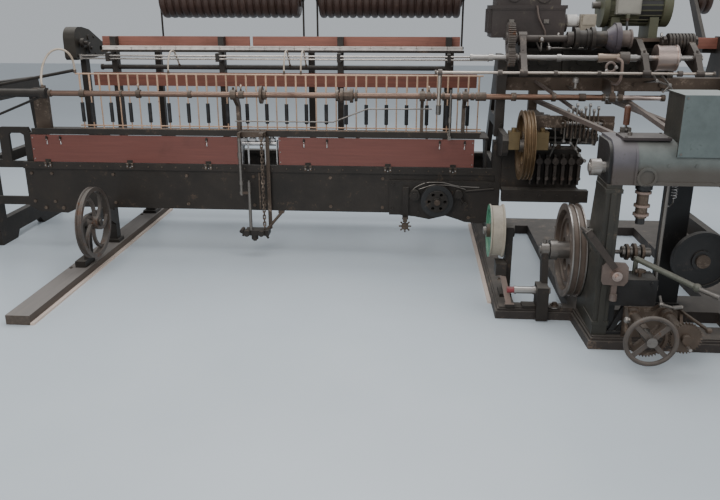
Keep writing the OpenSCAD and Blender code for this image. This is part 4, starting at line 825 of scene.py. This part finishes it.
def thin_hose(x):
    """Way of a thin hose from the ladder's top to the upper front side of the dark tube."""
    near_tube, seat = (DARK_TUBE_R + FERRULE_LONG) / math.sqrt(2.0), DARK_TUBE_R / math.sqrt(2.0)
    y, z = DARK_TUBE
    return (
        (x, *LADDER_TOP), (x, 0.5, 1.368), (x, 0.51, 1.41), (x, 0.54, 1.458), (x, 0.588, 1.49),
        (x, 0.64, 1.495), (x, 0.69, 1.474), (x, 0.734, 1.43), (x, y - near_tube, z + near_tube),
        (x, y - seat, z + seat),
    )


def make_hoses(sizes):
    """The cream hoses over the ladder and the motor lead, each with a ferrule at both ends."""
    runs = [("main_hose", MAIN_HOSE, sizes.hose, "hose", "cream_hose")]
    runs += [(f"thin_hose_{i}", thin_hose(x), sizes.thin_hose, "hose", "cream_hose")
             for i, x in enumerate(THIN_HOSES)]
    runs.append(("motor_lead", MOTOR_LEAD, sizes.hose, "lead", "black_rubber"))
    for name, points, diameter, finish, slot in runs:
        hose, way, whole = hose_curve(name, points, diameter, finish)
        profile = [(share, diameter / 2.0 * wide) for share, wide in FERRULE]
        for end, (at, inner) in enumerate(((way[0], way[2]), (way[-1], way[-3]))):
            ferrule = (at, at + (inner - at).normalized() * FERRULE_LONG, profile)
            lathes(f"{name}_ferrule_{end}", [ferrule], "steel", sides=24)
        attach(hose, "frame")
        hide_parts("hoses")


# Heads of screws, bolts and rivets


def head_tree():
    """Geometry nodes that set a head on each point, facing outwards, with a seeded turn."""
    tree = bpy.data.node_groups.new("Heads on points", "GeometryNodeTree")
    for label, kind in (
        ("Points", "Geometry"), ("Width", "Float"), ("Height", "Float"), ("Sides", "Int"),
        ("Crown", "Float"), ("Washer", "Float"), ("Finish", "Material"), ("Seed", "Int"),
    ):
        tree.interface.new_socket(label, in_out="INPUT", socket_type=f"NodeSocket{kind}")
    tree.interface.new_socket("Heads", in_out="OUTPUT", socket_type="NodeSocketGeometry")
    source = tree.nodes.new("NodeGroupInput").outputs

    def add(kind, settings, inputs):
        """Adds a node; settings first, then its inputs by name or number."""
        made = tree.nodes.new(kind)
        for key, value in settings.items():
            setattr(made, key, value)
        for key, value in inputs.items():
            if isinstance(value, bpy.types.NodeSocket):
                tree.links.new(value, made.inputs[key])
            else:
                made.inputs[key].default_value = value
        return made.outputs

    def times(a, b):
        return add("ShaderNodeMath", {"operation": "MULTIPLY"}, {0: a, 1: b})[0]

    def cone(sides, radius, crown, depth):
        return add("GeometryNodeMeshCone", {}, {
            "Vertices": sides, "Radius Bottom": radius, "Radius Top": times(radius, crown), "Depth": depth,
        })["Mesh"]

    def stored(name, kind):
        return add("GeometryNodeInputNamedAttribute", {"data_type": kind}, {"Name": name})["Attribute"]

    radius = times(source["Width"], 0.5)
    head = cone(source["Sides"], radius, source["Crown"], source["Height"])
    washer = cone(20, times(radius, source["Washer"]), 0.94, times(source["Height"], 0.28))
    both = tree.nodes.new("GeometryNodeJoinGeometry")
    for part in (washer, head):
        tree.links.new(part, both.inputs[0])
    turn = add("FunctionNodeRandomValue", {"data_type": "FLOAT"},
               {2: 0.0, 3: math.tau, "Seed": source["Seed"]})
    spin = add("FunctionNodeAxisAngleToRotation", {}, {"Axis": (0.0, 0.0, 1.0), "Angle": turn[1]})
    aim = add("FunctionNodeAlignRotationToVector", {"axis": "Z"},
              {"Rotation": spin[0], "Vector": stored("facing", "FLOAT_VECTOR")})
    heads_on = add("GeometryNodeInstanceOnPoints", {}, {
        "Points": source["Points"], "Instance": both.outputs[0], "Rotation": aim[0],
        "Scale": stored("size", "FLOAT"),
    })
    real = add("GeometryNodeRealizeInstances", {}, {"Geometry": heads_on[0]})
    done = add("GeometryNodeSetMaterial", {}, {"Geometry": real[0], "Material": source["Finish"]})
    tree.links.new(done[0], tree.nodes.new("NodeGroupOutput").inputs[0])
    return tree


def heads(name, places, finish, slot, body="frame", **inputs):
    """Heads on (point, outward direction, size) places, as one plain mesh on one body."""
    tree = bpy.data.node_groups.get("Heads on points") or head_tree()
    points = bpy.data.meshes.new(name)
    points.from_pydata([tuple(p[0]) for p in places], [], [])
    facing = points.attributes.new("facing", "FLOAT_VECTOR", "POINT")
    facing.data.foreach_set("vector", [c for p in places for c in Vector(p[1]).normalized()])
    size = points.attributes.new("size", "FLOAT", "POINT")
    size.data.foreach_set("value", [p[2] if len(p) > 2 else 1.0 for p in places])
    made = linked(name, points)
    grow = made.modifiers.new("Heads", "NODES")
    grow.node_group = tree
    inputs["finish"] = LOOK[finish]
    for item in tree.interface.items_tree:
        if item.name.lower() in inputs:
            grow[item.identifier] = inputs[item.name.lower()]
    bpy.context.view_layer.update()
    graph = bpy.context.evaluated_depsgraph_get()
    plain = bpy.data.meshes.new_from_object(made.evaluated_get(graph), depsgraph=graph)
    if not plain.polygons:
        raise RuntimeError(f"{name} came out empty")
    made.modifiers.clear()
    made.data = plain
    for attribute in ("facing", "size"):
        if attribute in plain.attributes:
            plain.attributes.remove(plain.attributes[attribute])
    plain.shade_smooth()
    plain.set_sharp_from_angle(angle=math.radians(40.0))
    return placed(made, body)


# Screws, bolts and rivets


FRONT, TOP = (0.0, -1.0, 0.0), (0.0, 0.0, 1.0)
HINGES = (-2.275, -1.64, -1.04, -0.29, 0.3, 0.775)
HINGE_MIDDLE = 0.027
# Rows along x: where they start, their step and how many
RIVETS_FROM, RIVET_STEP, RIVETS = -2.42, 0.105, 34
SEGMENTS_FROM, SEGMENT_STEP, SEGMENTS = -1.902, 0.1153, 24


def make_screws(sizes):
    """Latch screws on the flaps, pins of the hinges, rivets of the ledge and screws of the segments."""
    for body, (latches, ends) in FLAPS.items():
        rows = [((x, 0.336, z), FRONT)
                for x in (ends[0] + 0.012, ends[1] - 0.012) for z in (0.715, 0.79, 0.875)]
        rows += [((x, 0.322, 0.865), FRONT) for x in latches]
        heads(f"{body}_screws", rows, "bright", "bright_rod", body,
              width=sizes.screw, height=0.0025, sides=16, crown=0.7, washer=0.0, seed=5)
    pins = [((x + dx, 0.323, 0.67), FRONT) for x in HINGES for dx in (0.008, 0.046)]
    pins += [((x + HINGE_MIDDLE, 0.33, 0.66), FRONT) for x in HINGES]
    heads("hinge_pins", pins, "fitting", "bright_rod",
          width=0.011, height=0.004, sides=16, crown=0.6, washer=0.0, seed=9)
    rivets = [((x, 0.33, 0.664), FRONT) for x in (RIVETS_FROM + RIVET_STEP * i for i in range(RIVETS))
              if all(abs(x - hinge - HINGE_MIDDLE) > 0.04 for hinge in HINGES)]
    heads("ledge_rivets", rivets, "steel", "brown_steel",
          width=sizes.rivet, height=0.004, sides=16, crown=0.6, washer=0.0, seed=7)
    screws = [((SEGMENTS_FROM + SEGMENT_STEP * i + dx, 0.738, 1.51), FRONT)
              for i in range(SEGMENTS) for dx in (0.004, 0.108)]
    heads("segment_screws", screws, "bright", "bright_rod",
          width=0.007, height=0.002, sides=12, crown=0.7, washer=0.0, seed=11)


# Small pipes, oil cups, springs and plates


# Profiles of turned parts: share of the length and radius
DROP = ((0.0, 0.001), (0.12, 0.0022), (0.5, 0.0045), (0.78, 0.0065), (0.93, 0.005), (1.0, 0.0015))
CUP = ((0.0, 0.005), (0.3, 0.005), (0.34, 0.009), (0.85, 0.009), (0.93, 0.0075), (1.0, 0.003))
KNOB = ((0.0, 0.01), (0.55, 0.01), (0.6, 0.022), (0.92, 0.022), (1.0, 0.012))
NUT = ((0.0, 0.01), (0.25, 0.013), (0.75, 0.013), (1.0, 0.009))
WASHER = ((0.0, 0.046), (0.7, 0.046), (1.0, 0.04))
PIN = ((0.0, 0.017), (0.08, 0.017), (0.085, 0.01), (1.0, 0.01))
SLEEVE = ((0.0, 0.0165), (0.01, 0.0175), (0.99, 0.0175), (1.0, 0.0165))
COCK = ((0.0, 0.009), (0.15, 0.013), (0.3, 0.008), (0.7, 0.008), (0.85, 0.013), (1.0, 0.009))
COLLARS = (
    (0.0, 0.008), *((t + dt, r) for t in (0.2, 0.45, 0.7)
                    for dt, r in ((0.0, 0.008), (0.005, 0.013), (0.06, 0.013), (0.065, 0.008))), (1.0, 0.008)
)
# Fingers under the cross bar: how many, and the step from one to the next along x and down
FINGERS = 9
FINGER_STEP, FINGER_DROP = 0.044, 0.016
FORK_RING, FORK_RING_R, SIXTEENTH_TURN = (1.795, 1.43), 0.03, 0.3927
BASE_TOP, WASHER_TOP = 0.07, 0.076
COCK_AT = (1.764, -1.09)
# Motor radius and the x span of the black strips painted between its fins as their shadows
MOTOR_R, FIN_SHADOWS_FROM, FIN_SHADOWS_TO = 0.1335, 2.04, 2.184


def make_fittings(sizes):
    """The small things on the castings: pipes, cups, springs, caps and plain plates."""
    for body, (latches, _) in FLAPS.items():
        lathes(f"{body}_drops", [((x, 0.3335, 0.856), (x, 0.3335, 0.826), DROP) for x in latches],
               "fitting", body)
    lathes("shaft_cups", [((x, 0.25, 1.257), (x, 0.25, 1.285), CUP) for x in (-1.465, -0.72, 0.611)],
           "bronze", "line_shaft")
    pipes("plate_pipes", [
        ((0.5, 0.3255, 0.5), (0.53, 0.3255, 0.545), (0.61, 0.3255, 0.582), (0.73, 0.3255, 0.584),
         (0.85, 0.3255, 0.556), (1.0, 0.3255, 0.55)),
        ((0.56, 0.326, 0.53), (0.66, 0.326, 0.566), (0.8, 0.326, 0.562), (0.9, 0.326, 0.534)),
    ], 0.009, "grey")
    pipes("casing_pipes", [
        ((1.333, 0.384, 1.816), (1.35, 0.384, 1.735), (1.382, 0.386, 1.68), (1.403, 0.388, 1.64),
         (1.403, 0.392, 1.602)),
    ], 0.014, "flange")
    make_table_fittings()
    make_finger_fittings()
    make_foot_fittings(sizes)
    make_shaft_fittings()
    make_pump_cock()


def make_table_fittings():
    """Blocks, pipes, nuts and knobs on the table, the fork at the collar shaft and the links beside it."""
    blocks("table_blocks", [
        (1.72, 1.782, 0.316, 0.402, 1.54, 1.588), (1.6, 1.64, 0.287, 0.502, 1.262, 1.272),
        (1.336, 1.368, 0.204, 0.223, 1.582, 1.618), (1.41, 1.436, 0.32, 0.345, 1.525, 1.552),
        (1.48, 1.5, 0.36, 0.4, 1.582, 1.6), (1.25, 1.28, 0.36, 0.4, 1.582, 1.6),
    ], "steel")
    pipes("table_pipes", [
        ((1.352, 0.214, 1.59), (1.352, 0.214, 1.52), (1.352, 0.41, 1.57), (1.352, 0.41, 1.585)),
        ((1.423, 0.405, 1.59), (1.423, 0.333, 1.56), (1.423, 0.333, 1.538), (1.73, 0.333, 1.538),
         (1.75, 0.335, 1.545)),
        ((1.265, 0.405, 1.59), (1.265, 0.34, 1.57), (1.265, 0.31, 1.5), (1.3, 0.38, 1.42), (1.3, 0.5, 1.41)),
        ((1.56, 0.405, 1.59), (1.56, 0.333, 1.57), (1.56, 0.333, 1.54)),
    ], 0.013, "grey")
    pipes("fork_arm", [
        ((1.829, 0.098, 1.487), (1.862, 0.086, 1.472), (1.867, 0.086, 1.42), (1.864, 0.088, 1.352),
         (1.862, 0.15, 1.316), (1.861, 0.28, 1.306)),
    ], 0.02, "rail", 0.02)
    x, z = FORK_RING
    turns = [SIXTEENTH_TURN * k for k in range(17)]
    ring = [Vector((x + FORK_RING_R * math.cos(t), 0.098, z + FORK_RING_R * math.sin(t))) for t in turns]
    piece("fork_ring", [tube_shape(ring, 0.009)], "flange", smooth=50.0)
    lathes("fork_nuts", [((x, back, z), (x, front, z), NUT) for x, z, back, front in (
        (1.83, 1.43, 0.105, 0.085), (1.77, 1.405, 0.105, 0.085), (1.352, 1.6, 0.206, 0.19),
        (1.424, 1.54, 0.322, 0.3), (1.75, 1.564, 0.318, 0.3), (2.15, 1.33, 0.262, 0.24),
        (2.24, 1.302, 0.262, 0.24),
    )], "bright", sides=12)
    lathes("table_knobs", [((x, y, foot), (x, y, top), profile) for x, y, foot, top, profile in (
        (1.62, 0.3, 1.262, 1.345, KNOB), (1.55, 0.333, 1.54, 1.575, CUP), (1.68, 0.333, 1.54, 1.57, CUP),
        (1.49, 0.375, 1.602, 1.64, CUP), (1.8, 0.43, 1.602, 1.645, CUP), (2.2, 0.43, 1.602, 1.64, CUP),
    )], "bright")
    pipes("right_links", [
        ((2.12, 0.25, 1.372), (2.15, 0.25, 1.33), (2.15, 0.5, 1.3)),
        ((2.15, 0.25, 1.33), (2.24, 0.25, 1.302), (2.27, 0.26, 1.262), (2.27, 0.5, 1.25)),
        ((2.18, 0.25, 1.365), (2.24, 0.25, 1.302)),
        ((2.2, 0.26, 1.25), (2.235, 0.26, 1.29)),
    ], 0.014, "grey", 0.015)


def make_finger_fittings():
    """Nuts and springs of the finger plates, and the links that hang under them."""
    rows = []
    for i in range(FINGERS):
        x, z = 1.423 + FINGER_STEP * i, 1.076 - FINGER_DROP * i
        rows += [((x, y, z), TOP, 1.0 + 0.25 * ((i * 3 + k) % 3))
                 for k, y in enumerate((0.26, 0.29, 0.38, 0.44))]
        rows += [((x, 0.205, z - 0.013), FRONT, 0.9), ((x, 0.205, z + 0.012), FRONT, 0.7)]
    heads("finger_nuts", rows, "grey", "brown_steel",
          width=0.02, height=0.012, sides=6, crown=0.85, washer=0.0, seed=13)
    springs = []
    for i in range(FINGERS - 1):
        x, drop = 1.445 + FINGER_STEP * i, FINGER_DROP * i
        springs.append(coil((x, 0.214, 1.068 - drop), (x, 0.214, 1.002 - drop), 0.007, 0.003))
    piece("finger_springs", springs, "pale", smooth=60.0)
    pipes("hanging_links", [
        ((1.545, 0.165, 1.025), (1.545, 0.165, 0.93)),
        ((1.6, 0.165, 1.025), (1.592, 0.165, 0.915), (1.63, 0.168, 0.875), (1.66, 0.168, 0.83),
         (1.7, 0.17, 0.79), (1.69, 0.245, 0.77)),
        ((1.63, 0.168, 0.875), (1.64, 0.168, 0.93), (1.66, 0.165, 1.025)),
        ((1.48, 0.165, 1.025), (1.49, 0.17, 0.9), (1.47, 0.245, 0.79)),
    ], 0.012, "grey", 0.012)
    lathes("hanging_nuts", [((x, 0.178, z), (x, 0.154, z), NUT) for x, z in (
        (1.545, 0.927), (1.592, 0.915), (1.63, 0.875), (1.66, 0.83), (1.7, 0.79), (1.49, 0.9),
    )], "bright", sides=10)


def make_foot_fittings(sizes):
    """Small parts on the base plate, under the housing and on the drive column."""
    piece("return_spring", [coil((1.955, -0.9, 0.927), (1.955, -0.9, 0.8), 0.014, 0.005)],
          "fitting", smooth=60.0)
    pipes("spring_end", [((1.955, -0.9, 0.81), (1.955, -0.9, 0.77), (1.955, -0.86, 0.74), (1.99, -0.7, 0.7))],
          0.008, "grey", 0.02)
    lathes("base_bolt", [((1.39, -0.745, BASE_TOP), (1.39, -0.745, WASHER_TOP), WASHER)],
           "bright", sides=32)
    bolts = [((1.39, -0.745, WASHER_TOP), TOP, 1.3)]
    bolts += [((x, y, BASE_TOP), TOP)
              for x, y in ((1.11, -0.73), (1.11, -0.3), (1.11, 0.3), (1.55, 0.3), (1.55, -0.3))]
    heads("base_bolts", bolts, "steel", "brown_steel",
          width=sizes.bolt, height=0.014, sides=6, crown=0.9, washer=1.5, seed=17)
    piece("column_lever", [strap((1.44, -1.181, 0.68), (1.6, -1.181, 0.475), 0.036, 0.014)],
          "bearing")
    lathes("lever_pin", [((1.452, -1.195, 0.665), (1.462, -0.95, 0.63), PIN)], "bearing")


def make_shaft_fittings():
    """Painted shadow strips between the motor's fins, the casting with two shafts behind the fingers and the
    line shaft's end sleeve.
    """
    # Painted shade: thin black strips between the motor's fins on its front side stand in for the fins'
    # shadows
    fin_shadows = []
    for step in range(1, 10):
        turn = math.radians(15.0 * step + 7.5)
        out = Vector((0.0, -math.sin(turn), math.cos(turn)))
        at = Vector((0.0, *MOTOR)) + out * MOTOR_R
        ends = [at + Vector((x, 0.0, 0.0)) for x in (FIN_SHADOWS_FROM, FIN_SHADOWS_TO)]
        fin_shadows.append(strap(*ends, 0.024, 0.002, out))
    piece("motor_slots", fin_shadows, "black")
    blocks("rack_back", [
        (1.45, 1.83, 0.474, 0.494, 0.85, 0.96), (1.48, 1.52, 0.44, 0.49, 0.826, 0.87),
        (1.66, 1.7, 0.44, 0.49, 0.826, 0.87), (1.81, 1.83, 0.43, 0.476, 0.85, 0.9),
    ], "warm", 0.003)
    lathes("rack_shafts", [((1.46, 0.458, z), (1.82, 0.458, z), COLLARS) for z in (0.87, 0.9)],
           "grey", sides=16)
    lathes("shaft_sleeve", [((1.933, *LINE_SHAFT), (2.189, *LINE_SHAFT), SLEEVE)],
           "pink", "line_shaft", 32)


def make_pump_cock():
    """Tap with its cross handle under the housing."""
    x, y = COCK_AT
    lathes("pump_cock", [
        ((x, y, 0.4), (x, y, 0.445), KNOB), ((1.735, y, 0.43), (1.793, y, 0.43), COCK),
    ], "steel")


# Camera, floor and light


def set_camera():
    """Camera at the height of a standing visitor, a little to the right of the middle."""
    data = bpy.data.cameras.new("visitor")
    data.sensor_width = 36.0
    data.lens = 36.5
    data.clip_end = 60.0
    camera = linked("visitor", data)
    camera.location = (0.5, -4.95, 1.8)
    camera.rotation_euler = (math.radians(90.0 - 18.34), 0.0, math.radians(4.09))
    bpy.context.scene.camera = camera


def soft_light(name, place, aim, side, power, tint):
    """Square lamp at a place, turned to what it lights."""
    data = bpy.data.lights.new(name, "AREA")
    data.shape = "SQUARE"
    data.size = side
    data.energy = power
    data.color = tint
    light = linked(name, data)
    light.location = place
    light.rotation_euler = (Vector(aim) - Vector(place)).to_track_quat("-Z", "Y").to_euler()


def floor_paint():
    look = Look("pale floor")
    cloud = look.noise(0.7, 4.0)
    return look.finish(
        Base_Color=look.blend(tone(176, 184, 190), tone(196, 203, 208), cloud),
        Roughness=0.32 + cloud * 0.12,
    )


def set_stage(sizes):
    """Pale floor, soft daylight from above and behind, and a soft fill from the front."""
    half = sizes.floor / 2.0
    mesh = bpy.data.meshes.new("studio_floor")
    corner = ((-half, -half, 0), (half, -half, 0), (half, half, 0), (-half, half, 0))
    mesh.from_pydata(corner, [], [(0, 1, 2, 3)])
    mesh.materials.append(floor_paint())
    linked("studio_floor", mesh)
    soft_light("sky", (0.0, 1.5, 5.5), (0.0, 0.2, 0.6), 6.0, 330.0, (0.94, 0.97, 1.0))
    soft_light("front", (-1.5, -5.5, 4.2), (0.0, 0.2, 0.8), 4.0, 210.0, (1.0, 0.98, 0.95))
    soft_light("side", (5.5, -3.0, 3.2), (1.0, 0.0, 0.8), 3.0, 90.0, (1.0, 0.97, 0.94))
    world = bpy.context.scene.world or bpy.data.worlds.new("studio")
    bpy.context.scene.world = world
    world.use_nodes = True
    sky = world.node_tree.nodes["Background"]
    sky.inputs["Color"].default_value = (0.83, 0.88, 0.93, 1.0)
    sky.inputs["Strength"].default_value = 0.55


# Operators, panel and the order of work


class LOOM_OT_camera(bpy.types.Operator):
    """Set the camera where the visitor stands"""

    bl_idname = "loom.camera"
    bl_label = "Set the camera"

    def execute(self, context):
        set_camera()
        return {"FINISHED"}


class LOOM_OT_finishes(bpy.types.Operator):
    """Make the finishes and put them on the frame's parts"""

    bl_idname = "loom.finishes"
    bl_label = "Finish the frame"

    def execute(self, context):
        make_finishes(context.scene.loom_colours)
        paint_frame()
        paint_head()
        paint_base()
        return {"FINISHED"}


class LOOM_OT_hoses(bpy.types.Operator):
    """Lay the hoses and the motor lead"""

    bl_idname = "loom.hoses"
    bl_label = "Lay the hoses"

    def execute(self, context):
        make_hoses(context.scene.loom_sizes)
        return {"FINISHED"}


class LOOM_OT_screws(bpy.types.Operator):
    """Set the screws, rivets and bolts"""

    bl_idname = "loom.screws"
    bl_label = "Set the screws"

    def execute(self, context):
        make_screws(context.scene.loom_sizes)
        return {"FINISHED"}


class LOOM_OT_fittings(bpy.types.Operator):
    """Set the small pipes, cups and springs"""

    bl_idname = "loom.fittings"
    bl_label = "Set the fittings"

    def execute(self, context):
        make_fittings(context.scene.loom_sizes)
        return {"FINISHED"}


class LOOM_OT_stage(bpy.types.Operator):
    """Lay the pale floor and set the soft light"""

    bl_idname = "loom.stage"
    bl_label = "Set the stage"

    def execute(self, context):
        set_stage(context.scene.loom_sizes)
        return {"FINISHED"}


STEPS = (LOOM_OT_camera, LOOM_OT_finishes, LOOM_OT_hoses, LOOM_OT_screws, LOOM_OT_fittings, LOOM_OT_stage)


class LOOM_PT_panel(bpy.types.Panel):
    """Steps, sizes and colours of the loom"""

    bl_idname = "LOOM_PT_panel"
    bl_label = "Power loom"
    bl_space_type = "VIEW_3D"
    bl_region_type = "UI"
    bl_category = "Loom"

    def draw(self, context):
        for step in STEPS:
            self.layout.operator(step.bl_idname)
        for group in (context.scene.loom_sizes, context.scene.loom_colours):
            box = self.layout.box()
            for key in type(group).__annotations__:
                box.prop(group, key)


CLASSES = (LoomColours, LoomSizes, *STEPS, LOOM_PT_panel)


def register():
    for cls in CLASSES:
        bpy.utils.register_class(cls)
    bpy.types.Scene.loom_colours = bpy.props.PointerProperty(type=LoomColours)
    bpy.types.Scene.loom_sizes = bpy.props.PointerProperty(type=LoomSizes)


def unregister():
    del bpy.types.Scene.loom_sizes
    del bpy.types.Scene.loom_colours
    for cls in reversed(CLASSES):
        bpy.utils.unregister_class(cls)


def main():
    register()
    bpy.ops.loom.camera()
    bpy.ops.loom.finishes()
    bpy.ops.loom.hoses()
    bpy.ops.loom.screws()
    bpy.ops.loom.fittings()
    bpy.ops.loom.stage()


if __name__ == "__main__":
    main()
